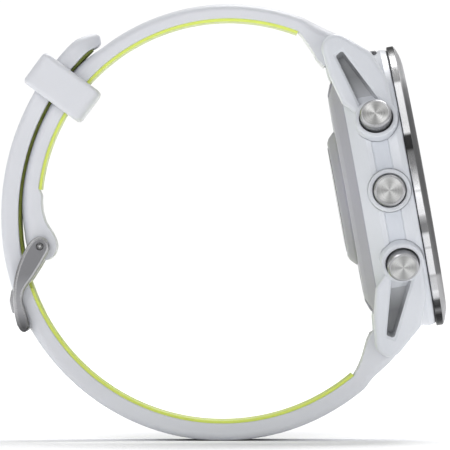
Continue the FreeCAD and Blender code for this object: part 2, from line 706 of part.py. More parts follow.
def strap_buckle_side():
    body = new_body("strap_buckle_side")
    sector(body, NEAR, "near_mid", "near_out", "near_start", "near_narrow", "wide")
    sector(body, NEAR, "near_mid", "near_out", "near_narrow", "near_end", "narrow")
    rod(body, "barrel_r", "wide", across(UPPER_BAR.x, UPPER_BAR.z, size("wide") / 2))
    heel = draw(empty_sketch(body, "XZ_Plane"),
                ("near_x + (near_mid + 0.3) * cos(liner_start)", "near_z + (near_mid + 0.3) * sin(liner_start)"),
                ("near_x + near_mid * cos(liner_start)", "near_z + near_mid * sin(liner_start)"),
                ("13.8", "65.4"), ("15.2", "63"), ("16.2", "61.9"), ("17.4", "63"), ("18.2", "65.6"))
    pad(body, heel, "wide", middle=True)
    rod(body, "end_barrel_r", "narrow", across(size("pin_x"), size("pin_z"), size("narrow") / 2))
    block(body, "8", "2 * notch_half", "7",
          (size("pin_x") - 4, -size("notch_half"), size("pin_z") - 3.4), cut=True)
    rod(body, "bar_bore_r", "24", across(UPPER_BAR.x, UPPER_BAR.z, 12), cut=True)
    rod(body, "pin_bore_r", "24", across(size("pin_x"), size("pin_z"), 12), cut=True)
    lever_slot(body, 1)
    doc.recompute()
    keep(body, "strap_buckle_side")

    body = new_body("liner_buckle_side")
    sector(body, NEAR, "near_in", "near_mid", "liner_start", "liner_end", "narrow - 0.1")
    keep(body, "liner_buckle_side")


def strap_holes(body):
    """The adjusting holes, and the longer one that the tongue goes through."""
    for holes, centre, reach in ((HOLES_FAR, FAR, "far_out"), (HOLES_WRAP, WRAP, "far_out + wrap_more")):
        hub = Vector(number(body, centre[0]), 0, number(body, centre[1]))
        for angle in holes:
            out = Vector(math.cos(math.radians(angle)), 0, math.sin(math.radians(angle)))
            rod(body, "hole_r", "8", Placement(hub + out * (number(body, reach) - 6), along(*out)), cut=True)
    turn = Rotation(Vector(0, 1, 0), 29)
    corner = Vector(-34.75, -1.75, 24.2) + turn.multVec(Vector(-1.75, 0, -3))
    block(body, "2.9", "2 * 1.75", "10", corner, turn, cut=True)


def strap_hole_side():
    body = new_body("strap_hole_side")
    sector(body, FAR, "far_mid", "far_out", "far_narrow", "far_root", "wide")
    sector(body, FAR, "far_mid", "far_out", "far_join - 360", "far_narrow", "narrow")
    sector(body, WRAP, "far_mid + wrap_more", "far_out + wrap_more", "wrap_end", "far_join", "narrow")
    rod(body, "barrel_r", "wide", across(LOWER_BAR.x, LOWER_BAR.z, size("wide") / 2))
    heel = draw(empty_sketch(body, "XZ_Plane"),
                ("far_x + (far_mid + 0.3) * cos(far_liner_root)", "far_z + (far_mid + 0.3) * sin(far_liner_root)"),
                ("far_x + far_mid * cos(far_liner_root)", "far_z + far_mid * sin(far_liner_root)"),
                ("22.6", "13"), ("23.5", "17"), ("24.4", "18.1"), ("25.6", "17.6"), ("27.6", "15.6"))
    pad(body, heel, "wide", middle=True)
    rod(body, "bar_bore_r", "24", across(LOWER_BAR.x, LOWER_BAR.z, 12), cut=True)
    lever_slot(body, -1)
    strap_holes(body)
    doc.recompute()
    keep(body, "strap_hole_side")

    body = new_body("liner_hole_side")
    sector(body, FAR, "far_in", "far_mid", "far_join - 360", "far_liner_root", "narrow - 0.1")
    sector(body, WRAP, "far_in + wrap_more", "far_mid + wrap_more", "wrap_end + 0.8", "far_join",
           "narrow - 0.1")
    strap_holes(body)
    doc.recompute()
    keep(body, "liner_hole_side")


def keeper_loop():
    body = new_body("keeper_loop")
    block(body, "keeper_far - keeper_near", "2 * keeper_half", "keeper_run",
          (size("keeper_near"), -size("keeper_half"), -size("keeper_run") / 2))
    soften(body, "keeper_round", lambda e: parallel_to(Vector(0, 0, 1))(e) or parallel_to(Vector(0, 1, 0))(e))
    block(body, "channel_far - channel_near", "2 * channel_half", "keeper_run + 2",
          (size("channel_near"), -size("channel_half"), -size("keeper_run") / 2 - 1), cut=True)
    doc.recompute()
    turn = Rotation(Vector(0, 1, 0), -size("keeper_angle"))
    keep(body, "keeper_loop", Placement(Vector(size("near_x"), 0, size("near_z")), turn))


# ---------------------------------------------------------------- buckle
def buckle():
    pin = Vector(size("pin_x"), 0, size("pin_z"))
    body = new_body("buckle_frame")
    for side in (LEFT, RIGHT):
        lift = Placement(Vector(0, 0, -side * size("arm_in")), Rotation())
        sketch = draw(empty_sketch(body, "XZ_Plane", lift),
                      ("pin_x + arm_end_r * cos(-30)", "pin_z + arm_end_r * sin(-30)"),
                      ("ccw", "pin_x", "pin_z"),
                      ("pin_x + arm_end_r * cos(150)", "pin_z + arm_end_r * sin(150)"),
                      ("ccw", "-19.94", "24.0"), ("-34.83", "21.1"),
                      ("-34.3", "18.9"), ("ccw", "-33.2", "18.95"), ("-32.1", "19.2"), ("-33.4", "23.6"))
        pad(body, sketch, "arm_thick", back=side == RIGHT)
    bar = draw(empty_sketch(body, "XZ_Plane"),
               ("-34.8", "21.2"), ("-34.3", "18.8"), ("-33.25", "17.9"), ("-32.75", "18.45"), ("-33.85", "21.2"))
    pad(body, bar, "2 * arm_in + 0.4", middle=True)
    block(body, "1", "3.4", "1", (-35.0, -1.7, 20.4), cut=True)
    reach = size("arm_in") + size("arm_thick") + 1
    rod(body, "pin_bore_r", "2 * (arm_in + arm_thick + 1)", across(pin.x, pin.z, reach), cut=True)
    doc.recompute()
    keep(body, "buckle_frame")

    body = new_body("buckle_tongue")
    half = size("tongue_half")
    rod(body, "tongue_barrel_r", "2 * tongue_half", across(pin.x, pin.z, half))
    blade = draw(empty_sketch(body, "XZ_Plane"),
                 ("-31.75", "31.4"), ("-33.3", "28.1"), ("-35.4", "24.3"), ("-35.35", "22.2"), ("-35.05", "20.9"),
                 ("-34.3", "20.9"), ("-34.35", "23.9"), ("-32.2", "27.6"), ("-30.2", "30.9"))
    pad(body, blade, "2 * tongue_half", middle=True)
    rod(body, "pin_bore_r", "2 * tongue_half + 2", across(pin.x, pin.z, half + 1), cut=True)
    doc.recompute()
    keep(body, "buckle_tongue")

    body = new_body("buckle_bar")
    rod(body, "pin_r", "2 * (arm_in + arm_thick) + 0.1", across(pin.x, pin.z, size("arm_in") + size("arm_thick") + 0.05))
    keep(body, "buckle_bar")


# ---------------------------------------------------------------- spring bars
def spring_bars():
    """Each bar: a tube with one fixed tip, a sliding tip with a lever, and a coil between them."""
    sideways = along(1, 0, 0)
    for name, end in (("upper", 1), ("lower", -1)):
        frame = bar_frame(end)
        body = new_body(f"{name}_bar_tube")
        low = place(-size("tube_half"), 0, 0, sideways)
        rod(body, "tube_r", "2 * tube_half", low)
        rod(body, "tube_bore_r", "tube_bore_deep", low, cut=True)
        rod(body, "tip_r_small", "tip_reach - tube_half + 0.5",
            place(size("tube_half") - 0.5, 0, 0, sideways))
        block(body, "release_travel + 1.2", "1.1", "3", (size("lever_at") - 0.6, -0.55, -3), cut=True)
        doc.recompute()
        keep(body, f"{name}_bar_tube", frame)

        body = new_body(f"{name}_release_pin")
        rod(body, "tip_r_small", "tip_reach + lever_at + 1", place(-size("tip_reach"), 0, 0, sideways))
        rod(body, "tube_bore_r - 0.05", "1.4", place(size("lever_at") - 0.4, 0, 0, sideways))
        rod(body, "lever_r", "lever_out", place(size("lever_at"), 0, 0, along(0, 0, -1)))
        doc.recompute()
        keep(body, f"{name}_release_pin", frame)

        start = size("lever_at") + 1.05
        room = size("tube_bore_deep") - size("tube_half") - start
        coil(f"{name}_bar_spring", 0.5, 0.1, room - 0.05, 12, frame * place(start, 0, 0, sideways))


mid_case()
front_stack()
electronics()
back_stack()
buttons()
strap_buckle_side()
strap_hole_side()
keeper_loop()
buckle()
spring_bars()
doc.recompute()

faults = [f"{item.Label}: {state}" for item in doc.Objects for state in item.State if state in ("Invalid", "Error")]
for item in made:
    if item.Shape.isNull() or not item.Shape.isValid() or item.Shape.Volume <= 0:
        faults.append(f"{item.Label}: no valid solid")
if faults:
    raise RuntimeError("; ".join(faults))
for item in made:
    item.Shape.exportStep(f"parts/{item.Label}.step")
print(f"{len(made)} sub-parts written")
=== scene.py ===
"""A GPS running watch on its buckled silicone strap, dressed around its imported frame."""

from __future__ import annotations

import json
import logging
import math
from collections.abc import Callable, Iterator, Sequence
from contextlib import contextmanager
from dataclasses import dataclass
from enum import Enum
from typing import Protocol

import bmesh
import bpy
from mathutils import Matrix, Vector


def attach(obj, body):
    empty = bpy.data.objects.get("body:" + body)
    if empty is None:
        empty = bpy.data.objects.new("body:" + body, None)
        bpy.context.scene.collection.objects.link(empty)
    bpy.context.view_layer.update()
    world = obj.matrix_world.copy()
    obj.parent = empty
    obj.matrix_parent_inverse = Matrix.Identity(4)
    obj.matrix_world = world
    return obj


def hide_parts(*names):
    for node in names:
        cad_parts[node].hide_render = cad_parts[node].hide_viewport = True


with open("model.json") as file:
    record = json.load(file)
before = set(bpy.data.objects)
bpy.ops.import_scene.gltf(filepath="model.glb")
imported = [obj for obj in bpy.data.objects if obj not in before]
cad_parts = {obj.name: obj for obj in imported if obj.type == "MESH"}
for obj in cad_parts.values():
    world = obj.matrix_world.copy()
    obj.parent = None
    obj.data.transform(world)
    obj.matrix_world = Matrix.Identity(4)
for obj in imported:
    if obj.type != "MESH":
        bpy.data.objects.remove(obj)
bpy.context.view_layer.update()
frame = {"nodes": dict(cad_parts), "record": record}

LOG = logging.getLogger("watch")
MM = 0.001
BORE_REACH = 14
NOTHING = 1e-6
LOCAL = "local"
GRAIN = "grain"
Pair = tuple[float, float]


# ---------------------------------------------------------------- workshop: meshes, in millimetres
@contextmanager
def editing(obj: bpy.types.Object) -> Iterator[None]:
    """Put one object, alone, in edit mode.

    Args:
        obj: the mesh object to edit.
    """
    alone(obj)
    bpy.ops.object.mode_set(mode="EDIT")
    try:
        yield
    finally:
        bpy.ops.object.mode_set(mode="OBJECT")


def alone(obj: bpy.types.Object) -> None:
    """Select one object and nothing else."""
    bpy.ops.object.select_all(action="DESELECT")
    obj.select_set(True)
    bpy.context.view_layer.objects.active = obj


def ring_object(name: str, count: int, filled: bool) -> bpy.types.Object:
    """Add a circle that a later step shapes.

    Args:
        name: the new object's name.
        count: how many points it has.
        filled: whether it holds a face.

    Returns:
        The new object.
    """
    bpy.ops.object.select_all(action="DESELECT")
    bpy.ops.mesh.primitive_circle_add(vertices=count, radius=1, fill_type="NGON" if filled else "NOTHING")
    obj = bpy.context.object
    obj.name = name
    return obj


def tidy_mesh(gap: float = 0.0004) -> None:
    """Close the seams of the mesh in edit mode and turn its faces outwards."""
    bpy.ops.mesh.select_all(action="SELECT")
    bpy.ops.mesh.remove_doubles(threshold=gap)
    bpy.ops.mesh.dissolve_degenerate(threshold=gap / 2)
    bpy.ops.mesh.normals_make_consistent(inside=False)


def loft(name: str, rings: Sequence[Sequence[Vector]], joined: bool = False) -> bpy.types.Object:
    """Extrude a face through a row of outlines.

    Args:
        name: the new object's name.
        rings: outlines with the same number of points each.
        joined: whether the last outline lies on the first, as in a closed loop.

    Returns:
        The closed solid.
    """
    obj = ring_object(name, len(rings[0]), filled=True)
    with editing(obj):
        mesh = bmesh.from_edit_mesh(obj.data)
        layer = mesh.verts.layers.int.new("ring")
        for index, vert in enumerate(mesh.verts):
            vert[layer] = index
        bpy.ops.mesh.select_all(action="SELECT")
        for step, ring in enumerate(rings):
            if step:
                bpy.ops.mesh.extrude_region_move()
            mesh = bmesh.from_edit_mesh(obj.data)
            layer = mesh.verts.layers.int["ring"]
            for vert in mesh.verts:
                if vert.select:
                    vert.co = ring[vert[layer]]
            if joined and step == 0:
                first = {tuple(round(c, 4) for c in point) for point in ring}
        bmesh.update_edit_mesh(obj.data)
        if joined:
            bpy.ops.mesh.select_all(action="DESELECT")
            mesh = bmesh.from_edit_mesh(obj.data)
            for face in mesh.faces:
                corners = {tuple(round(c, 4) for c in vert.co) for vert in face.verts}
                face.select_set(len(face.verts) == len(rings[0]) and corners <= first)
            bpy.ops.mesh.delete(type="ONLY_FACE")
        tidy_mesh()
    obj.data.attributes.remove(obj.data.attributes["ring"])
    return obj


def prism(name: str, outline: Sequence[Pair], low: float, high: float, axis: str = "Z",
          place: Matrix | None = None) -> bpy.types.Object:
    """Push a flat outline along an axis.

    Args:
        name: the new object's name.
        outline: its points, as (x, y) for axis Z, (x, z) for axis Y and (y, z) for axis X.
        low: the level it starts at.
        high: the level it ends at.
        axis: the axis.
        place: the frame that all this is in; the row frame if there is none.

    Returns:
        The closed solid.
    """
    along = "XYZ".index(axis)
    rings = []
    for level in (low, high):
        points = [[*point[:along], level, *point[along:]] for point in outline]
        rings.append([(place or Matrix.Identity(4)) @ Vector(point) for point in points])
    return loft(name, rings)


def lathe(name: str, outline: Sequence[Pair], steps: int = 128, solid: bool = True) -> bpy.types.Object:
    """Spin an outline about the z axis.

    Args:
        name: the new object's name.
        outline: (radius, level) points; it starts and ends on the axis for a solid.
        steps: how many faces the turn has.
        solid: whether the outline is open and meets the axis, or a closed ring's section.

    Returns:
        The turned solid.
    """
    obj = ring_object(name, len(outline), filled=False)
    with editing(obj):
        mesh = bmesh.from_edit_mesh(obj.data)
        mesh.verts.ensure_lookup_table()
        for vert, (radius, level) in zip(mesh.verts, outline):
            vert.co = Vector((radius, 0, level))
        if solid:
            bpy.ops.mesh.select_all(action="DESELECT")
            for edge in mesh.edges:
                edge.select_set({v.index for v in edge.verts} == {0, len(outline) - 1})
            bpy.ops.mesh.delete(type="EDGE")
        bpy.ops.mesh.select_all(action="SELECT")
        bpy.ops.mesh.spin(steps=steps, angle=2 * math.pi, center=(0, 0, 0), axis=(0, 0, 1))
        tidy_mesh()
    return obj


def apply_modifier(obj: bpy.types.Object, kind: str, **settings: object) -> None:
    """Add a modifier with these settings and apply it."""
    alone(obj)
    bpy.ops.object.modifier_add(type=kind)
    modifier = obj.modifiers[-1]
    for key, value in settings.items():
        setattr(modifier, key, value)
    bpy.ops.object.modifier_apply(modifier=modifier.name)


def bevel(obj: bpy.types.Object, width: float, segments: int = 3, over: float = 30, slot: int = -1,
          clamped: bool = True) -> None:
    """Round every edge that turns by more than an angle.

    Args:
        obj: the mesh object.
        width: the rounding's width.
        segments: how many faces it has.
        over: the angle, in degrees.
        slot: the material slot that the new faces take, or -1 for their neighbours'.
        clamped: whether the width is held back where edges are short.
    """
    apply_modifier(obj, "BEVEL", width=width, segments=segments, limit_method="ANGLE",
                   angle_limit=math.radians(over), material=slot, use_clamp_overlap=clamped)


def cut(obj: bpy.types.Object, *tools: bpy.types.Object) -> None:
    """Take the tools' shapes out of an object, one after the other."""
    for tool in tools:
        apply_modifier(obj, "BOOLEAN", operation="DIFFERENCE", solver="EXACT", object=tool)
        bpy.data.objects.remove(tool)


def join(*parts: bpy.types.Object) -> bpy.types.Object:
    """Make several meshes one object, the first."""
    alone(parts[0])
    for part in parts[1:]:
        part.select_set(True)
    bpy.ops.object.join()
    return parts[0]


def copy_of(obj: bpy.types.Object, place: Matrix) -> bpy.types.Object:
    """A copy with its own mesh, put in another place.

    Args:
        obj: the object to copy.
        place: where the copy goes, a mirror image included.

    Returns:
        The copy.
    """
    twin = obj.copy()
    twin.data = obj.data.copy()
    bpy.context.scene.collection.objects.link(twin)
    twin.data.transform(place)
    if place.determinant() < 0:
        with editing(twin):
            bpy.ops.mesh.select_all(action="SELECT")
            bpy.ops.mesh.flip_normals()
    return twin


def rod(radius: float, low: float, high: float, place: Matrix, sides: int = 40) -> bpy.types.Object:
    """A round cutting tool from one level to another along a frame's z axis."""
    turns = [2 * math.pi * i / sides for i in range(sides)]
    outline = [(radius * math.cos(turn), radius * math.sin(turn)) for turn in turns]
    return prism("tool", outline, low, high, place=place)


def crosswise(x: float, z: float) -> Matrix:
    """A frame at a point of the side view, with its z axis across the strap."""
    return Matrix.Translation((x, 0, z)) @ Matrix.Rotation(math.pi / 2, 4, "X")


def cross_bore(at: Pair, radius: float) -> bpy.types.Object:
    """A tool for a hole right across the strap."""
    return rod(radius, -BORE_REACH, BORE_REACH, crosswise(*at), 32)


def box(left: float, low: float, right: float, high: float) -> tuple[Pair, ...]:
    """The corners of an upright rectangle."""
    return (left, low), (right, low), (right, high), (left, high)


def rounded(corners: Sequence[Pair], radius: float | Sequence[float], steps: int = 5) -> list[Pair]:
    """Round a closed outline's corners.

    Args:
        corners: the outline's corners in order.
        radius: one radius, or one for each corner.
        steps: how many edges each rounding has.

    Returns:
        The outline's points, steps + 1 for each corner.
    """
    points = []
    count = len(corners)
    for index, corner in enumerate(corners):
        wanted = radius[index] if isinstance(radius, Sequence) else radius
        here = Vector(corner)
        back, on = Vector(corners[index - 1]) - here, Vector(corners[(index + 1) % count]) - here
        half = max(back.angle(on) / 2, 0.01)
        reach = min(wanted / math.tan(half), 0.49 * back.length, 0.49 * on.length)
        if reach < NOTHING:
            points += [tuple(here)] * (steps + 1)
            continue
        start, end = here + back.normalized() * reach, here + on.normalized() * reach
        centre = here + (back.normalized() + on.normalized()).normalized() * reach / math.cos(half)
        from_angle = math.atan2(*(start - centre).yx)
        turn = math.remainder(math.atan2(*(end - centre).yx) - from_angle, 2 * math.pi)
        size = (start - centre).length
        for step in range(steps + 1):
            angle = from_angle + turn * step / steps
            points.append((centre.x + size * math.cos(angle), centre.y + size * math.sin(angle)))
    return points


def grown(corners: Sequence[Pair], margin: float) -> list[Pair]:
    """Move each side of a convex outline outwards.

    Args:
        corners: the corners in order.
        margin: how far out; negative is inwards.

    Returns:
        The new corners.
    """
    middle = sum((Vector(c) for c in corners), Vector((0, 0))) / len(corners)
    out = []
    for index, corner in enumerate(corners):
        here = Vector(corner)
        sides = []
        for other in (Vector(corners[index - 1]), Vector(corners[(index + 1) % len(corners)])):
            normal = (other - here).normalized().orthogonal()
            sides.append(normal if normal.dot(here - middle) > 0 else -normal)
        bisector = (sides[0] + sides[1]).normalized()
        out.append(tuple(here + bisector * margin / bisector.dot(sides[0])))
    return out


def arc(centre: Pair, radius: float, start: float, end: float, steps: int) -> list[Pair]:
    """Points of an arc between two angles in degrees, both ends included."""
    angles = [math.radians(start + (end - start) * i / steps) for i in range(steps + 1)]
    return [(centre[0] + radius * math.cos(a), centre[1] + radius * math.sin(a)) for a in angles]


def smooth(t: float) -> float:
    """A smooth step from 0 to 1."""
    t = min(max(t, 0), 1)
    return t * t * (3 - 2 * t)


def paint_faces(obj: bpy.types.Object, slot: int, test: Callable[[Vector, Vector], bool]) -> None:
    """Give the faces that pass a test a material slot."""
    for face in obj.data.polygons:
        if test(face.center, face.normal):
            face.material_index = slot


@dataclass(frozen=True)
class Station:
    """One cross-section of a band: its inner and outer middle points, and half its width along side."""

    inner: Vector
    outer: Vector
    half: float
    side: Vector = Vector((0, 1, 0))


def band(name: str, stations: Sequence[Station], outer_round: float, inner_round: float,
         joined: bool = False, steps: int = 5, spread: float = 1.0) -> bpy.types.Object:
    """A band with rounded edges through a row of stations.

    Args:
        name: the new object's name.
        stations: its cross-sections in order.
        outer_round: the rounding of its outer edges.
        inner_round: the rounding of its inner edges.
        joined: whether it is a closed loop.
        steps: how many faces each rounding has.
        spread: how much wider than deep the roundings are.

    Returns:
        The solid band.
    """
    rings = []
    for station in stations:
        way = station.outer - station.inner
        deep = way.length
        way = way.normalized()
        wide = station.half / spread
        radii = (inner_round, inner_round, outer_round, outer_round)
        outline = rounded(box(-wide, 0, wide, deep), radii, steps)
        rings.append([station.inner + station.side * u * spread + way * h for u, h in outline])
    return loft(name, rings, joined)


# ---------------------------------------------------------------- finishes
class Graph:
    """The nodes of one material."""

    def __init__(self, name: str, local: bool) -> None:
        """Start a material.

        Args:
            name: the material's name.
            local: whether patterns follow the piece's own frame, in millimetres.
        """
        self.material = bpy.data.materials.new(name)
        self.material.use_nodes = True
        self.nodes = self.material.node_tree.nodes
        self.links = self.material.node_tree.links
        self.shader = self.nodes["Principled BSDF"]
        if local:
            self.place = self.attribute(LOCAL)
        else:
            coordinates = self.nodes.new("ShaderNodeTexCoord")
            mapping = self.nodes.new("ShaderNodeMapping")
            mapping.inputs["Scale"].default_value = (1 / MM,) * 3
            self.links.new(coordinates.outputs["Object"], mapping.inputs["Vector"])
            self.place = mapping.outputs["Vector"]

    def attribute(self, name: str) -> bpy.types.NodeSocket:
        """Read a vector that the piece carries."""
        node = self.nodes.new("ShaderNodeAttribute")
        node.attribute_name = name
        return node.outputs["Vector"]

    def feed(self, sockets: Sequence[bpy.types.NodeSocket], values: Sequence[object]) -> None:
        """Link each socket to its value, or set it."""
        for socket, value in zip(sockets, values):
            if isinstance(value, bpy.types.NodeSocket):
                self.links.new(value, socket)
            else:
                socket.default_value = value

    def set(self, **values: object) -> None:
        """Set the shader's sockets; a socket's spaces are written as underscores."""
        self.feed([self.shader.inputs[key.replace("_", " ")] for key in values], list(values.values()))

    def math(self, kind: str, *values: object) -> bpy.types.NodeSocket:
        """One step of arithmetic on sockets and numbers."""
        node = self.nodes.new("ShaderNodeMath")
        node.operation = kind
        self.feed(node.inputs, values)
        return node.outputs[0]

    def stretched(self, scale: tuple[float, float, float]) -> bpy.types.NodeSocket:
        """The piece's coordinates, scaled along each axis."""
        mapping = self.nodes.new("ShaderNodeMapping")
        mapping.inputs["Scale"].default_value = scale
        self.links.new(self.place, mapping.inputs["Vector"])
        return mapping.outputs["Vector"]

    def parts(self, vector: bpy.types.NodeSocket) -> list[bpy.types.NodeSocket]:
        """A vector's x, y and z."""
        node = self.nodes.new("ShaderNodeSeparateXYZ")
        self.links.new(vector, node.inputs[0])
        return list(node.outputs)

    def joined(self, *values: object) -> bpy.types.NodeSocket:
        """A vector from three values."""
        node = self.nodes.new("ShaderNodeCombineXYZ")
        self.feed(node.inputs, values)
        return node.outputs[0]

    def reach(self, x: bpy.types.NodeSocket, y: bpy.types.NodeSocket) -> bpy.types.NodeSocket:
        """How far a point is from the z axis."""
        return self.math("SQRT", self.math("ADD", self.math("MULTIPLY", x, x), self.math("MULTIPLY", y, y)))

    def rings(self, scale: float) -> bpy.types.NodeSocket:
        """Noise drawn out in circles about the z axis."""
        x, y, _ = self.parts(self.place)
        turn = self.math("MULTIPLY", self.math("ARCTAN2", y, x), 0.02)
        return self.noise(scale, 4, self.joined(self.reach(x, y), turn, 0.0))

    def noise(self, scale: float, detail: float = 2,
              vector: bpy.types.NodeSocket | None = None) -> bpy.types.NodeSocket:
        """A noise field with features about 1 / scale millimetres wide."""
        node = self.nodes.new("ShaderNodeTexNoise")
        node.inputs["Scale"].default_value = scale
        node.inputs["Detail"].default_value = detail
        self.links.new(vector or self.place, node.inputs["Vector"])
        return node.outputs["Fac"]

    def cells(self, scale: float) -> bpy.types.NodeSocket:
        """The distance to the nearest of many scattered points."""
        node = self.nodes.new("ShaderNodeTexVoronoi")
        node.inputs["Scale"].default_value = scale
        self.links.new(self.place, node.inputs["Vector"])
        return node.outputs["Distance"]

    def span(self, value: bpy.types.NodeSocket, low: float, high: float, to_low: float,
             to_high: float) -> bpy.types.NodeSocket:
        """Map a value from one range to another, and keep it there."""
        node = self.nodes.new("ShaderNodeMapRange")
        self.links.new(value, node.inputs["Value"])
        for key, number in (("From Min", low), ("From Max", high), ("To Min", to_low), ("To Max", to_high)):
            node.inputs[key].default_value = number
        return node.outputs["Result"]

    def blend(self, factor: bpy.types.NodeSocket, first: Sequence[float],
              second: Sequence[float]) -> bpy.types.NodeSocket:
        """A colour between two colours."""
        node = self.nodes.new("ShaderNodeMix")
        node.data_type = "RGBA"
        self.links.new(factor, node.inputs["Factor"])
        colours = [socket for socket in node.inputs if socket.type == "RGBA"]
        self.feed(colours, ((*first, 1), (*second, 1)))
        return next(socket for socket in node.outputs if socket.type == "RGBA")

    def bump(self, height: bpy.types.NodeSocket, deep_mm: float, strength: float = 1) -> bpy.types.NodeSocket:
        """Relief of a depth in millimetres."""
        node = self.nodes.new("ShaderNodeBump")
        node.inputs["Distance"].default_value = deep_mm * MM
        node.inputs["Strength"].default_value = strength
        self.links.new(height, node.inputs["Height"])
        return node.outputs["Normal"]


def shade(colour: Sequence[float], by: float) -> tuple[float, ...]:
    """A colour made lighter or darker by a factor."""
    return tuple(min(c * by, 1) for c in colour)


class Finish(Protocol):
    """What every finish offers."""

    @property
    def name(self) -> str:
        """The material's name."""

    def make(self, local: bool = True) -> bpy.types.Material:
        """Build the material."""


@dataclass(frozen=True)
class Silicone:
    """Satin moulded silicone: a dry, finely blasted skin with slight unevenness."""

    name: str
    colour: tuple[float, float, float]
    roughness: float = 0.46

    def make(self, local: bool = True) -> bpy.types.Material:
        """Build the material."""
        graph = Graph(self.name, local)
        broad, fine = graph.noise(0.12, 3), graph.noise(7, 3)
        graph.set(Base_Color=graph.blend(broad, shade(self.colour, 0.975), shade(self.colour, 1.02)),
                  Roughness=graph.span(fine, 0.3, 0.7, self.roughness - 0.06, self.roughness + 0.08),
                  Normal=graph.bump(graph.math("ADD", fine, graph.math("MULTIPLY", broad, 6)), 0.006, 0.7),
                  Subsurface_Weight=0.06, Subsurface_Scale=0.0008, Subsurface_Radius=(1, 0.9, 0.8),
                  Sheen_Weight=0.08, Sheen_Roughness=0.5, Specular_IOR_Level=0.42)
        return graph.material


@dataclass(frozen=True)
class Moulding:
    """A moulded polymer with short fibres under its skin and a finely spark-eroded surface."""

    name: str
    colour: tuple[float, float, float]
    roughness: float = 0.36
    speckle: float = 0.03
    coat: float = 0.0

    def make(self, local: bool = True) -> bpy.types.Material:
        """Build the material."""
        graph = Graph(self.name, local)
        fibres = graph.noise(2.2, 4, graph.stretched((1, 0.35, 1.6)))
        grit, broad = graph.cells(9), graph.noise(0.15, 2)
        tone = graph.math("ADD", graph.math("MULTIPLY", fibres, 0.7), graph.math("MULTIPLY", broad, 0.5))
        colour = graph.blend(graph.span(tone, 0.3, 0.9, 0, 1), shade(self.colour, 1 - self.speckle),
                             shade(self.colour, 1 + self.speckle))
        graph.set(Base_Color=colour,
                  Roughness=graph.span(grit, 0, 0.8, self.roughness - 0.05, self.roughness + 0.07),
                  Normal=graph.bump(grit, 0.004, 0.5), Coat_Weight=self.coat, Coat_Roughness=0.25)
        return graph.material


@dataclass(frozen=True)
class RecessShade:
    """The floor of a lug's recess in painted shade: greyer than the white polymer and darker still towards
    the lug's middle.
    """

    name: str
    colour: tuple[float, float, float]
    roughness: float
    dark: float
    near: float = 14.0
    middle: float = 19.5
    far: float = 24.5

    def make(self, local: bool = True) -> bpy.types.Material:
        """Build the material."""
        graph = Graph(self.name, local)
        _, y, _ = graph.parts(graph.place)
        along = graph.math("ABSOLUTE", y)
        # painted shade: darkest where the recess runs towards the lug's middle
        tone = graph.math("MAXIMUM", graph.span(along, self.near, self.middle, 1, 0),
                          graph.span(along, self.middle, self.far, 0, 0.35))
        grit = graph.noise(8, 3)
        graph.set(Base_Color=graph.blend(tone, shade(self.colour, self.dark), self.colour),
                  Roughness=graph.span(grit, 0.3, 0.7, self.roughness - 0.05, self.roughness + 0.07),
                  Normal=graph.bump(grit, 0.004, 0.5))
        return graph.material


@dataclass(frozen=True)
class BlastedMetal:
    """Bead-blasted metal."""

    name: str
    colour: tuple[float, float, float]
    roughness: float = 0.42

    def make(self, local: bool = True) -> bpy.types.Material:
        """Build the material."""
        graph = Graph(self.name, local)
        grit, broad = graph.noise(14, 3), graph.noise(0.5, 2)
        graph.set(Base_Color=graph.blend(broad, shade(self.colour, 0.92), shade(self.colour, 1.08)),
                  Metallic=1.0,
                  Roughness=graph.span(grit, 0.3, 0.7, self.roughness - 0.05, self.roughness + 0.08),
                  Normal=graph.bump(grit, 0.005, 0.5))
        return graph.material


@dataclass(frozen=True)
class ArmMetal:
    """The buckle arms' blasted metal, with painted light: a painted highlight over the arms' lower part and
    painted shade at their lower ends.
    """

    name: str
    colour: tuple[float, float, float]
    roughness: float
    bright: float
    highlight_band: Pair = (27.5, 23.5)
    dark: Pair = (21.5, 18.6)

    def make(self, local: bool = True) -> bpy.types.Material:
        """Build the material."""
        graph = Graph(self.name, local)
        grit = graph.noise(14, 3)
        height = graph.parts(graph.place)[2]
        # painted highlight below the highlight band, painted shade towards the arms' lower ends
        tone = graph.math("MULTIPLY", graph.span(height, *self.highlight_band, 0.5, 0.5 * self.bright),
                          graph.span(height, *self.dark, 1, 0.25))
        tone = graph.math("ADD", tone, graph.math("MULTIPLY", graph.math("SUBTRACT", grit, 0.5), 0.06))
        graph.set(Base_Color=graph.blend(tone, (0, 0, 0), shade(self.colour, 2)), Metallic=1.0,
                  Roughness=graph.span(grit, 0.3, 0.7, self.roughness - 0.05, self.roughness + 0.08),
                  Normal=graph.bump(grit, 0.003, 0.5))
        return graph.material


@dataclass(frozen=True)
class PolishedMetal:
    """Polished metal with hairline marks."""

    name: str
    colour: tuple[float, float, float]
    roughness: float = 0.14

    def make(self, local: bool = True) -> bpy.types.Material:
        """Build the material."""
        graph = Graph(self.name, local)
        marks = graph.noise(5, 3, graph.stretched((1, 1, 6)))
        graph.set(Base_Color=graph.blend(marks, shade(self.colour, 0.95), shade(self.colour, 1.05)),
                  Metallic=1.0,
                  Roughness=graph.span(marks, 0.3, 0.7, self.roughness * 0.8, self.roughness * 1.3),
                  Normal=graph.bump(marks, 0.001, 0.3))
        return graph.material


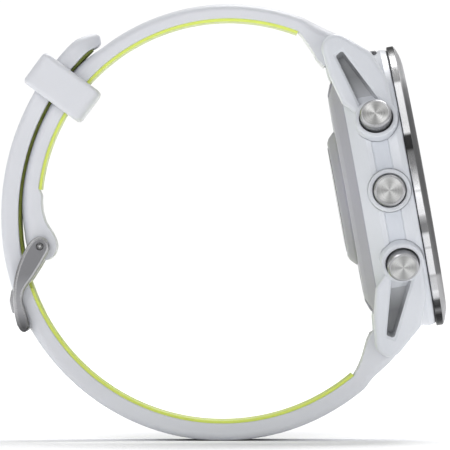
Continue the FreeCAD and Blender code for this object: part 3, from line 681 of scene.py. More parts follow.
@dataclass(frozen=True)
class RingMetal:
    """A wide ring's metal with painted reflections: its tone changes in steps from 6 to 12 o'clock, standing
    in for bright and dark surroundings mirrored in it.
    """

    name: str
    roughness: float
    brushed: bool
    reflection_stops: tuple[Pair, ...]
    reach: float = 23.5

    def make(self, local: bool = True) -> bpy.types.Material:
        """Build the material."""
        graph = Graph(self.name, local)
        y = graph.parts(graph.place)[1]
        marks = graph.rings(14) if self.brushed else graph.noise(2.5, 3)
        # painted reflections: the tone stops stand in for the surroundings mirrored in the ring
        ramp = graph.nodes.new("ShaderNodeValToRGB")
        graph.links.new(graph.span(y, -self.reach, self.reach, 0, 1), ramp.inputs[0])
        elements = ramp.color_ramp.elements
        while len(elements) < len(self.reflection_stops):
            elements.new(0.5)
        for element, (level, tone) in zip(elements, self.reflection_stops):
            element.position = (level + self.reach) / (2 * self.reach)
            element.color = (tone, tone, tone * 1.01, 1)
        graph.set(Base_Color=ramp.outputs["Color"], Metallic=0.75, Tangent=graph.attribute(GRAIN),
                  Specular_Tint=(0.35, 0.35, 0.35, 1), Specular_IOR_Level=0.2,
                  Anisotropic=0.6 if self.brushed else 0.0,
                  Roughness=graph.span(marks, 0.3, 0.7, self.roughness - 0.05, self.roughness + 0.07),
                  Normal=graph.bump(marks, 0.003 if self.brushed else 0.0005, 0.5))
        return graph.material


@dataclass(frozen=True)
class SpunMetal:
    """Metal brushed in circles about the piece's own axis, with painted highlights: bright and dark arms
    about the axis in its colour.
    """

    name: str
    colour: tuple[float, float, float]
    roughness: float = 0.3
    highlight_lobes: float = 0.16
    lobe_count: int = 4
    first_lobe: float = 0.62
    ring_pitch: float = 0.07

    def make(self, local: bool = True) -> bpy.types.Material:
        """Build the material."""
        graph = Graph(self.name, local)
        x, y, _ = graph.parts(graph.place)
        turn = graph.math("SUBTRACT", graph.math("ARCTAN2", y, x), self.first_lobe)
        rings = graph.rings(1 / self.ring_pitch)
        # painted highlight: bright and dark arms about the axis, over the real ring grain
        star = graph.math("COSINE", graph.math("MULTIPLY", turn, self.lobe_count))
        tone = graph.math("ADD", graph.math("MULTIPLY", star, self.highlight_lobes), graph.math("MULTIPLY", rings, 0.5))
        colour = graph.blend(graph.span(tone, -0.1, 0.6, 0, 1), shade(self.colour, 1 - self.highlight_lobes),
                             shade(self.colour, 1 + self.highlight_lobes))
        graph.set(Base_Color=colour, Metallic=1.0, Anisotropic=0.75, Tangent=graph.attribute(GRAIN),
                  Roughness=graph.span(rings, 0.3, 0.7, self.roughness - 0.06, self.roughness + 0.06),
                  Normal=graph.bump(rings, 0.003, 0.5))
        return graph.material


@dataclass(frozen=True)
class ClearGlass:
    """Coated cover glass, with faint wiping marks."""

    name: str
    colour: tuple[float, float, float] = (0.97, 0.98, 0.985)
    clear: float = 1.0

    def make(self, local: bool = True) -> bpy.types.Material:
        """Build the material."""
        graph = Graph(self.name, local)
        wipe = graph.noise(0.25, 4, graph.stretched((1, 3, 1)))
        graph.set(Base_Color=(*self.colour, 1), Transmission_Weight=self.clear, IOR=1.5,
                  Roughness=graph.span(wipe, 0.35, 0.75, 0.01, 0.05))
        return graph.material


@dataclass(frozen=True)
class Gloss:
    """A smooth dark moulding, film or resin."""

    name: str
    colour: tuple[float, float, float]
    roughness: float = 0.16

    def make(self, local: bool = True) -> bpy.types.Material:
        """Build the material."""
        graph = Graph(self.name, local)
        haze = graph.noise(0.6, 3)
        graph.set(Base_Color=graph.blend(haze, shade(self.colour, 0.85), shade(self.colour, 1.15)),
                  Roughness=graph.span(haze, 0.3, 0.7, self.roughness * 0.7, self.roughness * 1.3),
                  Coat_Weight=0.3, Coat_Roughness=0.05)
        return graph.material


@dataclass(frozen=True)
class Lit:
    """A lit area of the display, made of a fine grid of lamps."""

    name: str
    colour: tuple[float, float, float]
    power: float = 1.0

    def make(self, local: bool = True) -> bpy.types.Material:
        """Build the material."""
        graph = Graph(self.name, local)
        dots = graph.cells(9)
        lit = graph.blend(graph.span(dots, 0.2, 0.7, 0, 1), self.colour, shade(self.colour, 0.82))
        graph.set(Base_Color=lit, Emission_Color=lit, Emission_Strength=self.power, Roughness=0.4)
        return graph.material


WHITE_SILICONE = Silicone("white_silicone", (0.775, 0.785, 0.82))
LIME_SILICONE = Silicone("lime_silicone", (0.80, 0.92, 0.17), 0.4)
# a darker copy of the lime lining, used as painted shade
LIME_SHADE = Silicone("lime_lining_shade", (0.60, 0.69, 0.15), 0.45)
PANEL_POLYMER = Moulding("side_panel", (0.715, 0.745, 0.80), 0.3, 0.02, 0.1)
# the painted shade of the lugs' recesses
RECESS_SHADE = RecessShade("lug_recess_shade", (0.65, 0.665, 0.69), 0.45, 0.42)
WHITE_POLYMER = Moulding("white_polymer", (0.77, 0.79, 0.83), 0.33, 0.02, 0.12)
GREY_POLYMER = Moulding("grey_polymer", (0.435, 0.43, 0.49), 0.4, 0.04)
DARK_POLYMER = Moulding("dark_polymer", (0.03, 0.03, 0.033), 0.45, 0.15)
DARK_RUBBER = Silicone("dark_rubber", (0.03, 0.03, 0.034), 0.6)
# painted reflections on the bezel's band and slope, as tone stops from 6 to 12 o'clock
BAND_METAL = RingMetal("bezel_band", 0.2, False, (
    (-23.5, 0.02), (-21.6, 0.03), (-20.9, 0.22), (-20.3, 0.03), (-19.2, 0.08), (-18.7, 0.6), (-17.7, 0.8),
    (-17.4, 0.6), (-15.4, 0.55), (-15.1, 0.4), (-14.7, 0.75), (-10.7, 0.8), (-10.4, 0.5), (-10.1, 0.75),
    (-8.2, 0.75), (-7.7, 0.22), (-6.4, 0.2), (-5.2, 0.45), (-4.8, 0.8), (-1.2, 0.85), (-0.9, 0.55),
    (-0.6, 0.9), (1.6, 0.85), (3.8, 0.4), (5.6, 0.2), (6.2, 0.03), (8.4, 0.04), (8.9, 0.95), (17.2, 0.97),
    (17.5, 0.33), (21.5, 0.55), (23.1, 0.04)))
SLOPE_METAL = RingMetal("bezel_slope", 0.36, True, (
    (-23.5, 0.6), (-15.2, 0.52), (-14.8, 0.21), (0, 0.19), (13, 0.23), (16, 0.4), (18, 0.9), (23.5, 0.8)))
# the button faces carry painted highlight arms
SPUN_FACE = SpunMetal("button_face", (0.50, 0.50, 0.495), 0.3, 0.3)
BUTTON_RIM = PolishedMetal("button_rim", (0.44, 0.44, 0.45), 0.3)
BUTTON_WALL = PolishedMetal("button_wall", (0.34, 0.34, 0.345), 0.34)
# both buckle finishes carry the arms' painted highlight and painted shade
BUCKLE_FACE = ArmMetal("buckle_face", (0.25, 0.25, 0.26), 0.45, 1.45)
BUCKLE_EDGE = ArmMetal("buckle_edge", (0.46, 0.46, 0.47), 0.26, 0.9)
STEEL = BlastedMetal("turned_steel", (0.52, 0.52, 0.52), 0.3)
CLEAR_GLASS = ClearGlass("cover_glass")
SMOKED_GLASS = ClearGlass("smoked_glass", (0.10, 0.10, 0.11), 0.85)
PANEL_BLACK = Gloss("panel_black", (0.006, 0.006, 0.008), 0.2)
PRINT_BLACK = Gloss("print_black", (0.01, 0.01, 0.012), 0.3)
TORCH_GREY = Gloss("torch_grey", (0.13, 0.13, 0.14), 0.22)
LIT_WHITE = Lit("lit_white", (0.86, 0.88, 0.9), 0.9)
LIT_LIME = Lit("lit_lime", (0.55, 0.85, 0.04), 0.9)
LIT_DIM = Lit("lit_dim", (0.16, 0.18, 0.2), 0.5)

CARRIED = {
    "seal_rubber": DARK_RUBBER, "adhesive_tape": DARK_RUBBER,
    "flex_film": Gloss("flex_film", (0.5, 0.2, 0.04), 0.3), "chassis_plastic": DARK_POLYMER,
    "antenna_metal": PolishedMetal("antenna_metal", (0.6, 0.6, 0.6), 0.25),
    "board_laminate": Gloss("solder_mask", (0.01, 0.09, 0.04), 0.35), "chip_resin": DARK_POLYMER,
    "tinned_steel": BlastedMetal("tinned_steel", (0.6, 0.6, 0.58), 0.3),
    "battery_pouch": Moulding("pouch_film", (0.45, 0.46, 0.48), 0.3, 0.05),
    "rotor_weight": BlastedMetal("sintered_weight", (0.4, 0.4, 0.42), 0.4),
    "contact_gold": PolishedMetal("contact_gold", (0.83, 0.62, 0.27), 0.22), "screw_steel": STEEL,
    "led_resin": Gloss("led_resin", (0.55, 0.62, 0.42), 0.15), "port_dark": DARK_POLYMER,
    "spring_steel": PolishedMetal("spring_steel", (0.45, 0.45, 0.46), 0.25), "display_stack": PANEL_BLACK,
    "torch_smoke": TORCH_GREY, "window_dark": SMOKED_GLASS, "lens_glass": CLEAR_GLASS,
    "case_polymer": WHITE_POLYMER, "cover_grey": GREY_POLYMER, "sensor_grey": GREY_POLYMER,
    "strap_white": WHITE_SILICONE, "liner_lime": LIME_SILICONE, "buckle_metal": BUCKLE_FACE,
    "bezel_metal": SLOPE_METAL, "button_metal": STEEL,
}


# ---------------------------------------------------------------- frames
@dataclass(frozen=True)
class Frames:
    """Where the tilted head of the watch sits in the row frame."""

    x: float = 26.6
    z: float = 41.25
    tilt: float = 10.3

    def head(self) -> Matrix:
        """The head's frame: x to 3 o'clock, y to 12 o'clock, z out of the display."""
        s, c = math.sin(math.radians(self.tilt)), math.cos(math.radians(self.tilt))
        return Matrix(((0, -s, c, self.x), (1, 0, 0, 0), (0, c, s, self.z), (0, 0, 0, 1)))

    def on_head(self, x: float, y: float, z: float) -> Vector:
        """A point of the head, in the row frame."""
        return self.head() @ Vector((x, y, z))


FRAMES = Frames()
BUTTON_TURN = 27
BUTTON_PITCH = 12.2
BUTTON_LEVEL = 0.415
OUTER_RIM, MIDDLE_RIM = 21.2, 24.2


# ---------------------------------------------------------------- finishing
class Finisher:
    """Keeps one copy of each material and puts finished pieces in their place."""

    def __init__(self) -> None:
        """Start with no materials made."""
        self.made: dict[tuple[str, bool], bpy.types.Material] = {}

    def material(self, finish: Finish, local: bool = True) -> bpy.types.Material:
        """The material of a finish, made once for each kind of coordinates."""
        key = (finish.name, local)
        if key not in self.made:
            self.made[key] = finish.make(local)
        return self.made[key]

    def dress(self, obj: bpy.types.Object, finishes: Sequence[Finish]) -> None:
        """Give an object its material slots before its faces are painted, cut or joined."""
        for finish in finishes:
            obj.data.materials.append(self.material(finish))

    def settle(self, obj: bpy.types.Object, name: str, place: Matrix, body: str, slot: str,
               finishes: Sequence[Finish], replaces: Sequence[str] = (), sharp: float = 32,
               weighted: bool = True) -> bpy.types.Object:
        """Dress a finished mesh and put it in the row frame.

        Args:
            obj: the mesh, in millimetres in its own frame.
            name: the piece's name.
            place: its own frame in the row frame, in millimetres.
            body: the body it rides on.
            slot: the record's material slot; not used.
            finishes: its finishes, one for each material slot in use.
            replaces: the nodes it stands for.
            sharp: the angle over which edges stay sharp, in degrees.
            weighted: whether flat faces keep flat shading beside their rounded edges.

        Returns:
            The finished piece.
        """
        obj.name = obj.data.name = name
        alone(obj)
        bpy.ops.object.shade_smooth_by_angle(angle=math.radians(sharp))
        if weighted:
            apply_modifier(obj, "WEIGHTED_NORMAL", keep_sharp=True)
        local = obj.data.attributes.new(LOCAL, "FLOAT_VECTOR", "POINT")
        grain = obj.data.attributes.new(GRAIN, "FLOAT_VECTOR", "POINT")
        turn = place.to_3x3()
        where, along = [], []
        for vert in obj.data.vertices:
            where.extend(vert.co)
            along.extend((turn @ Vector((-vert.co.y, vert.co.x, 0))).normalized())
        local.data.foreach_set("vector", where)
        grain.data.foreach_set("vector", along)
        if not obj.data.materials:
            self.dress(obj, finishes)
        obj.data.transform(Matrix.Scale(MM, 4) @ place)
        obj.data.update()
        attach(obj, body)
        if replaces:
            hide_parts(*replaces)
        LOG.info("%s: %d faces", name, len(obj.data.polygons))
        return obj

    def settle_on_head(self, obj: bpy.types.Object, name: str, slot: str, finishes: Sequence[Finish],
                       replaces: Sequence[str] = (), sharp: float = 32,
                       weighted: bool = True) -> bpy.types.Object:
        """Settle a fixed piece that is modelled in the head's frame; the arguments are those of settle."""
        return self.settle(obj, name, FRAMES.head(), "watch", slot, finishes, replaces, sharp, weighted)

    def dress_nodes(self) -> None:
        """Give every node that is still shown the finish of its slot."""
        slots = {part["node"]: part["material_slot"] for part in frame["record"]["subparts"]}
        for name, node in frame["nodes"].items():
            material = self.material(CARRIED[slots[name]], local=False)
            if not node.material_slots:
                node.data.materials.append(material)
            for index in range(len(node.material_slots)):
                node.material_slots[index].material = material


class Button(Enum):
    """The five buttons: their side (-1 is 9 o'clock) and their row (1 is the upper one)."""

    LIGHT = (-1, 1)
    UP = (-1, 0)
    DOWN = (-1, -1)
    START = (1, 1)
    BACK = (1, -1)

    def frame(self) -> Matrix:
        """The button's frame in the head: origin on its boss's rim, z outwards."""
        side, row = self.value
        angle = math.radians(BUTTON_TURN * row)
        out = Vector((side * math.cos(angle), math.sin(angle), 0))
        across = Vector((0, 0, 1)).cross(out)
        rim = side * (OUTER_RIM if row else MIDDLE_RIM)
        return Matrix(((across.x, 0, out.x, rim), (across.y, 0, out.y, row * BUTTON_PITCH),
                       (0, 1, 0, BUTTON_LEVEL), (0, 0, 0, 1)))


# ---------------------------------------------------------------- head
@dataclass
class Housing:
    """The white mid case: a turned ring with four slotted lugs and five button bosses."""

    finisher: Finisher
    outline: tuple[Pair, ...] = (
        (20.6, 4.24), (22.93, 4.24), (23.08, 4.14), (23.24, 3.22), (23.2, 3.08), (22.98, 2.3),
        (22.96, 1.78), (22.74, 1.72), (22.74, 1.6), (22.84, 1.56), (22.84, -0.94), (22.74, -0.98),
        (22.74, -1.1), (22.96, -1.16), (23.0, -1.3), (22.98, -2.0), (21.45, -4.4), (21.3, -4.48),
        (18.2, -4.48), (18.2, -3.4), (20.6, -3.4))
    skin: float = 23.0
    grooves: Pair = (-1.2, 1.8)
    groove_end: float = 36.0
    panel: Pair = (-0.97, 1.6)
    wells: tuple[Pair, ...] = ((3.66, -2.1), (3.2, -2.9))
    torch_hole: tuple[float, ...] = (-4.45, 1.0, 4.45, 2.7)
    cavity: float = 20.7
    lug: tuple[Pair, ...] = ((12.6, 3.75), (18.5, 3.3), (22.95, 1.6))
    lug_foot: tuple[Pair, ...] = ((20.3, -5.85), (15.4, -4.6), (12.6, -2.0))
    bar: Pair = (24.65, -3.95)
    tip_radius: float = 2.4
    lug_inner: float = 11.2
    slant: float = 19.1
    slant_at: Pair = (19.66, 13.2)
    slot: tuple[Pair, ...] = ((14.3, -1.65), (15.0, 1.45), (24.1, -3.1), (23.45, -4.15))
    slot_round: tuple[float, ...] = (0.7, 0.5, 0.45, 0.4)
    slot_steps: tuple[Pair, ...] = ((1.2, 1.6), (0.02, 0.5), (-0.3, 0.08), (-2.0, -0.2))
    slot_floor: float = -0.5
    lug_round: float = 0.85
    boss_outline: tuple[Pair, ...] = (
        (1.0, -1.75), (2.79, -1.75), (2.79, -0.16), (2.83, -0.06), (2.93, 0.0), (3.28, 0.0), (3.44, -0.06),
        (3.55, -0.22), (3.55, -3.4), (1.0, -3.4))
    finishes: tuple[Finish, ...] = (WHITE_POLYMER, PANEL_POLYMER, RECESS_SHADE)

    def ring(self) -> bpy.types.Object:
        """The turned ring, with panel lines on its two sides only."""
        ring = lathe("ring", self.outline, 192, solid=False)
        self.finisher.dress(ring, self.finishes)
        for vert in ring.data.vertices:
            reach = math.hypot(vert.co.x, vert.co.y)
            turn = math.degrees(math.atan2(abs(vert.co.y), abs(vert.co.x)))
            grooved = self.grooves[0] < vert.co.z < self.grooves[1]
            if grooved and turn > self.groove_end and reach > self.skin - 0.5:
                vert.co.x, vert.co.y = vert.co.x * self.skin / reach, vert.co.y * self.skin / reach
        paint_faces(ring, 1, lambda at, _: self.panel[0] < at.z < self.panel[1]
                    and math.hypot(at.x, at.y) > self.skin - 0.3
                    and abs(at.y) < abs(at.x) * math.tan(math.radians(self.groove_end)))
        for radius, low in self.wells:
            cut(ring, *(rod(radius, low, 3, button.frame()) for button in Button))
        cut(ring, prism("tool", rounded(box(*self.torch_hole), 0.5), 19, 26, "Y"))
        return ring

    def outer_face(self, y: float) -> float:
        """How far out a lug's slanted outer face is."""
        return self.slant_at[0] - (y - self.slant_at[1]) * math.tan(math.radians(self.slant))

    def one_lug(self) -> bpy.types.Object:
        """The lug at 1 o'clock, with its long tapered recess."""
        tip = arc(self.bar, self.tip_radius, 38, -110, 14)
        outline = [*self.lug, *tip, *self.lug_foot]
        rings = [[Vector((self.lug_inner if inner else self.outer_face(y), y, z)) for y, z in outline]
                 for inner in (True, False)]
        lug = loft("lug", rings)
        bevel(lug, self.lug_round, 4, 35)
        self.finisher.dress(lug, self.finishes)
        cut(lug, rod(self.cavity, -3.5, 8, Matrix.Identity(4), 96))
        out = Vector((math.cos(math.radians(self.slant)), math.sin(math.radians(self.slant)), 0))
        rings = []
        for level, margin in self.slot_steps:
            edge = rounded(grown(self.slot, margin), self.slot_round, 5)
            rings.append([Vector((self.outer_face(y), y, z)) + out * level for y, z in edge])
        tool = loft("tool", rings)
        self.finisher.dress(tool, self.finishes)
        # the recess floor takes the painted-shade material
        paint_faces(tool, 2, lambda at, _: (at.x - self.outer_face(at.y)) * out.x < self.slot_floor)
        cut(lug, tool)
        return lug

    def boss(self) -> bpy.types.Object:
        """The raised round guard about a button, with its well."""
        return lathe("boss", self.boss_outline, 72, solid=False)

    def build(self) -> None:
        """Make the whole mid case."""
        lug, boss = self.one_lug(), self.boss()
        parts = [self.ring()]
        for x in (1, -1):
            for y in (1, -1):
                parts.append(copy_of(lug, Matrix.Diagonal((x, y, 1, 1))))
        self.finisher.dress(boss, self.finishes)
        parts += [copy_of(boss, button.frame()) for button in Button]
        bpy.data.objects.remove(lug)
        bpy.data.objects.remove(boss)
        self.finisher.settle_on_head(join(*parts), "case_housing", "case_polymer",
                                     self.finishes, ["mid_case"], sharp=24)


@dataclass
class Front:
    """The bezel, its cover glass and the lit display under it."""

    finisher: Finisher
    bezel: tuple[Pair, ...] = (
        (19.2, 4.4), (23.4, 4.4), (23.5, 4.5), (23.5, 5.44), (23.45, 5.53), (23.1, 5.76), (22.6, 5.99),
        (21.9, 6.23), (21.2, 6.41), (20.62, 6.5), (20.48, 6.42), (20.48, 5.25), (19.2, 5.25))
    lens_radius: float = 20.4
    lens_low: float = 5.36
    lens_edge: float = 6.42
    lens_top: float = 6.85
    lens_drop: float = 0.33
    slope_from: float = 5.5
    dial_level: float = 5.31
    tick_end: float = 17.6
    hour_tick: Pair = (0.2, 15.4)
    minute_tick: Pair = (0.07, 16.6)
    panel: tuple[Pair, ...] = ((0, 5.3), (18.8, 5.3), (18.9, 5.22), (18.9, 4.35), (0, 4.35))
    border: tuple[Pair, ...] = ((18.2, 5.31), (19.28, 5.31), (19.28, 5.35), (18.2, 5.35))
    dim_arc: tuple[float, ...] = (13.2, 13.9, 20, 340)
    lime_arc: tuple[float, ...] = (12.2, 12.9, 0, 232)
    small_dials: tuple[Pair, ...] = ((-6.4, 0), (6.4, 0), (0, -6.6))
    small_arc: Pair = (2.5, 2.85)
    hour_hand: tuple[Pair, ...] = ((-0.45, -1.6), (0.45, -1.6), (0.5, 8.2), (0, 9.0), (-0.5, 8.2))
    minute_hand: tuple[Pair, ...] = ((-0.36, -1.8), (0.36, -1.8), (0.4, 13.2), (0, 14.2), (-0.4, 13.2))
    second_hand: tuple[float, ...] = (-0.1, -4.2, 0.1, 15.6)
    hand_turns: tuple[float, ...] = (304, 52, 178)
    dial_deep: float = 0.025

    def build(self) -> None:
        """Make the front of the head."""
        bezel = lathe("bezel", self.bezel, 256, solid=False)
        paint_faces(bezel, 1, lambda at, _: at.z > self.slope_from)
        self.finisher.settle_on_head(bezel, "bezel", "bezel_metal", [BAND_METAL, SLOPE_METAL],
                                     ["bezel_ring"], sharp=28)
        rim, low = self.lens_radius, self.lens_low
        dome = [(r, self.lens_top - self.lens_drop * (r / rim) ** 2) for r in (0, 3, 6, 9, 12, 15, 18, 20.1)]
        lens = lathe("lens", (*dome, (rim, self.lens_edge), (rim, low), (0, low)), 128)
        self.finisher.settle_on_head(lens, "cover_glass", "lens_glass", [CLEAR_GLASS], ["lens_glass"])
        panel = lathe("panel", self.panel, 128)
        self.finisher.settle_on_head(panel, "display", "display_stack", [PANEL_BLACK], ["display_panel"])
        border = lathe("border", self.border, 128, solid=False)
        self.finisher.settle_on_head(border, "printed_border", "display_stack", [PRINT_BLACK])
        self.dial()

    def mark(self, outline: Sequence[Pair], turn: float, lift: float = 0) -> bpy.types.Object:
        """A thin flat mark on the dial, drawn at 12 o'clock and turned clockwise.

        Args:
            outline: its corners.
            turn: the angle in degrees.
            lift: how far above the dial it lies.

        Returns:
            The mark.
        """
        spin = Matrix.Rotation(math.radians(-turn), 4, "Z")
        low = self.dial_level + lift
        return prism("mark", outline, low, low + self.dial_deep, place=spin)

    def sweep(self, inner: float, outer: float, start: float, end: float) -> bpy.types.Object:
        """A thin bent bar on the dial between two angles from 12 o'clock."""
        steps = max(6, int(abs(end - start) / 4))
        first, last = 90 - start, 90 - end
        return self.mark(arc((0, 0), outer, first, last, steps) + arc((0, 0), inner, last, first, steps), 0)

    def dial(self) -> None:
        """Ticks, hands and progress rings of a generic watch face."""
        white, lime, dim = [], [], []
        for minute in range(60):
            (wide, near), group = (self.minute_tick, dim) if minute % 5 else (self.hour_tick, white)
            group.append(self.mark(box(-wide, near, wide, self.tick_end), minute * 6))
        dim.append(self.sweep(*self.dim_arc))
        lime.append(self.sweep(*self.lime_arc))
        for x, y in self.small_dials:
            shift = Matrix.Translation((x, y, 0))
            for group, start, end in ((dim, 0, 356), (lime, 0, 150 + 20 * x)):
                part = self.sweep(*self.small_arc, start, end)
                group.append(copy_of(part, shift @ Matrix.Translation((0, 0, 0.003 if group is lime else 0))))
                bpy.data.objects.remove(part)
        hour, minute, second = self.hand_turns
        white.append(self.mark(rounded(self.hour_hand, 0.2, 2), hour, 0.004))
        white.append(self.mark(rounded(self.minute_hand, 0.2, 2), minute, 0.006))
        lime.append(self.mark(box(*self.second_hand), second, 0.01))
        lime.append(self.mark(arc((0, 0), 0.9, 0, 345, 23), 0, 0.012))
        for name, parts, finish in (("dial_marks", white, LIT_WHITE), ("dial_accents", lime, LIT_LIME),
                                    ("dial_minutes", dim, LIT_DIM)):
            self.finisher.settle_on_head(join(*parts), name, "display_stack", [finish], weighted=False)


@dataclass
class Back:
    """The grey back cover with its screws, charging socket and sensor dome."""

    finisher: Finisher
    screw_at: Pair = (4.2, 18.1)
    screw_hole: float = 1.2
    socket_hole: tuple[float, ...] = (-2.87, -15.87, 2.87, -12.13)
    tray: tuple[float, ...] = (-2.8, -15.8, 2.8, -12.2)
    tray_steps: tuple[Pair, ...] = ((0, -5.1), (0, -6.3), (-0.3, -6.3), (-0.36, -6.1))
    torch_lens: tuple[float, ...] = (-4.4, 1.05, 4.4, 2.65)
    torch_steps: tuple[Pair, ...] = ((20.9, 0), (23.05, 0), (23.3, -0.08), (23.42, -0.2), (23.45, -0.34))
    torch_bend: float = 0.012
    star: Pair = (0.42, 0.1)
    cover: tuple[Pair, ...] = (
        (10.0, -6.56), (17.3, -6.56), (17.5, -6.53), (18.85, -6.03), (19.0, -5.95), (21.2, -4.66),
        (21.3, -4.58), (21.3, -4.48), (16.6, -4.48), (16.6, -5.56), (10.0, -5.56))
    dome: tuple[Pair, ...] = (
        (11.2, -6.5), (11.16, -6.8), (11.0, -7.0), (10.3, -7.68), (10.1, -7.8), (9.6, -8.03),
        (9.42, -8.06), (8.97, -8.06), (8.93, -8.0), (8.93, -7.3), (8.2, -7.3), (8.2, -6.5))
    window: tuple[Pair, ...] = (
        (0, -8.18), (8.6, -8.18), (8.78, -8.14), (8.88, -8.04), (8.88, -7.3), (0, -7.3))
    screw: tuple[Pair, ...] = (
        (0, -5.62), (0.98, -5.62), (1.1, -5.5), (1.1, -5.2), (0.58, -5.2), (0.58, -2.4), (0, -2.4))

    def screw_places(self) -> list[Matrix]:
        """Where the four screws are, in the head."""
        x, y = self.screw_at
        return [Matrix.Translation((across * x, along * y, 0)) for across in (-1, 1) for along in (-1, 1)]

    def build(self) -> None:
        """Make the back of the head."""
        cover = lathe("cover", self.cover, 160, solid=False)
        cut(cover, *(rod(self.screw_hole, -8, -4, place) for place in self.screw_places()))
        cut(cover, prism("tool", rounded(box(*self.socket_hole), 0.6), -8, -4))
        self.finisher.settle_on_head(cover, "back_plate", "cover_grey", [GREY_POLYMER], ["back_cover"])
        dome = lathe("dome", self.dome, 144, solid=False)
        self.finisher.settle_on_head(dome, "sensor_dome", "sensor_grey", [GREY_POLYMER], ["sensor_housing"])
        window = lathe("window", self.window, 128)
        self.finisher.settle_on_head(window, "sensor_glass", "window_dark", [SMOKED_GLASS], ["sensor_window"])
        self.screws()
        self.socket()
        self.torch()

    def screws(self) -> None:
        """Four screws with six-lobed sockets."""
        screw = lathe("screw", self.screw, 48)
        middle, wave = self.star
        turns = [2 * math.pi * i / 48 for i in range(48)]
        star = [((middle + wave * math.cos(6 * turn)) * math.cos(turn),
                 (middle + wave * math.cos(6 * turn)) * math.sin(turn)) for turn in turns]
        cut(screw, prism("tool", star, -6, -5.35))
        parts = [copy_of(screw, place) for place in self.screw_places()]
        bpy.data.objects.remove(screw)
        self.finisher.settle_on_head(join(*parts), "cover_screws", "screw_steel", [STEEL], ["back_screws"])

    def socket(self) -> None:
        """The charging socket's tray."""
        rings = []
        for margin, level in self.tray_steps:
            rings.append([Vector((x, y, level)) for x, y in rounded(grown(box(*self.tray), margin), 0.55)])
        self.finisher.settle_on_head(loft("tray", rings), "charging_socket", "port_dark",
                                     [DARK_POLYMER], ["charge_port"])

    def torch(self) -> None:
        """The smoked lens of the light at 12 o'clock."""
        rings = []
        for y, margin in self.torch_steps:
            corners = rounded(grown(box(*self.torch_lens), margin), 0.5)
            rings.append([Vector((x, y - self.torch_bend * x * x, z)) for x, z in corners])
        self.finisher.settle_on_head(loft("torch", rings), "torch_lens", "torch_smoke",
                                     [TORCH_GREY], ["flashlight_lens"])


@dataclass
class Buttons:
    """Five round metal buttons with spun faces."""

    finisher: Finisher
    outline: tuple[Pair, ...] = (
        (0, 1.6), (0.12, 1.6), (0.3, 1.6), (0.6, 1.6), (1.0, 1.6), (1.5, 1.6), (2.12, 1.6), (2.2, 1.63),
        (2.3, 1.63), (2.38, 1.59), (2.54, 1.42), (2.6, 1.3), (2.6, -0.85), (2.5, -0.95), (0.8, -0.95),
        (0.8, -4.6), (0, -4.6))
    face_radius: float = 2.12
    rim_low: float = 1.3

    def build(self) -> None:
        """Turn one button and copy it to each boss."""
        first = lathe("button", self.outline, 96)
        self.finisher.dress(first, (SPUN_FACE, BUTTON_RIM, BUTTON_WALL))
        paint_faces(first, 1, lambda at, _: at.z > self.rim_low and math.hypot(at.x, at.y) > self.face_radius)
        paint_faces(first, 2, lambda at, _: at.z < self.rim_low)
        for button in Button:
            name = button.name.lower()
            part = copy_of(first, Matrix.Identity(4))
            self.finisher.settle(part, f"{name}_cap", FRAMES.head() @ button.frame(), f"{name}_button",
                                 "button_metal", [], [f"button_{name}"], sharp=28)
        bpy.data.objects.remove(first)


# ---------------------------------------------------------------- strap
@dataclass(frozen=True)
class Bend:
    """One circular run of the strap: its centre and radii in the side view."""

    centre: Pair
    inner: float
    middle: float
    outer: float

    def point(self, radius: float, angle: float) -> Vector:
        """A point of the strap's middle plane."""
        turn = math.radians(angle)
        return Vector((self.centre[0] + radius * math.cos(turn), 0, self.centre[1] + radius * math.sin(turn)))

    def station(self, angle: float, half: float, liner: bool = False) -> Station:
        """The cross-section at an angle, of the white band or of its lining."""
        low, high = (self.inner, self.middle) if liner else (self.middle, self.outer)
        return Station(self.point(low, angle), self.point(high, angle), half)


NEAR = Bend((0.7, 38.1), 31.2, 31.7, 34.1)
FAR = Bend((-0.4, 36.6), 33.27, 33.77, 36.6)
JOIN = 186.7
STEP_OUT = 4.4
WRAP = Bend((FAR.centre[0] - STEP_OUT * math.cos(math.radians(JOIN)),
             FAR.centre[1] - STEP_OUT * math.sin(math.radians(JOIN))), 37.67, 38.17, 41.0)
WIDE, NARROW = 10.9, 10.2


def side_station(inner: Pair, outer: Pair, half: float) -> Station:
    """A cross-section from two points of the side view."""
    return Station(Vector((inner[0], 0, inner[1])), Vector((outer[0], 0, outer[1])), half)


def side_stations(pairs: Sequence[tuple[Pair, Pair]], half: float) -> list[Station]:
    """Cross-sections of one width from pairs of points of the side view."""
    return [side_station(inner, outer, half) for inner, outer in pairs]


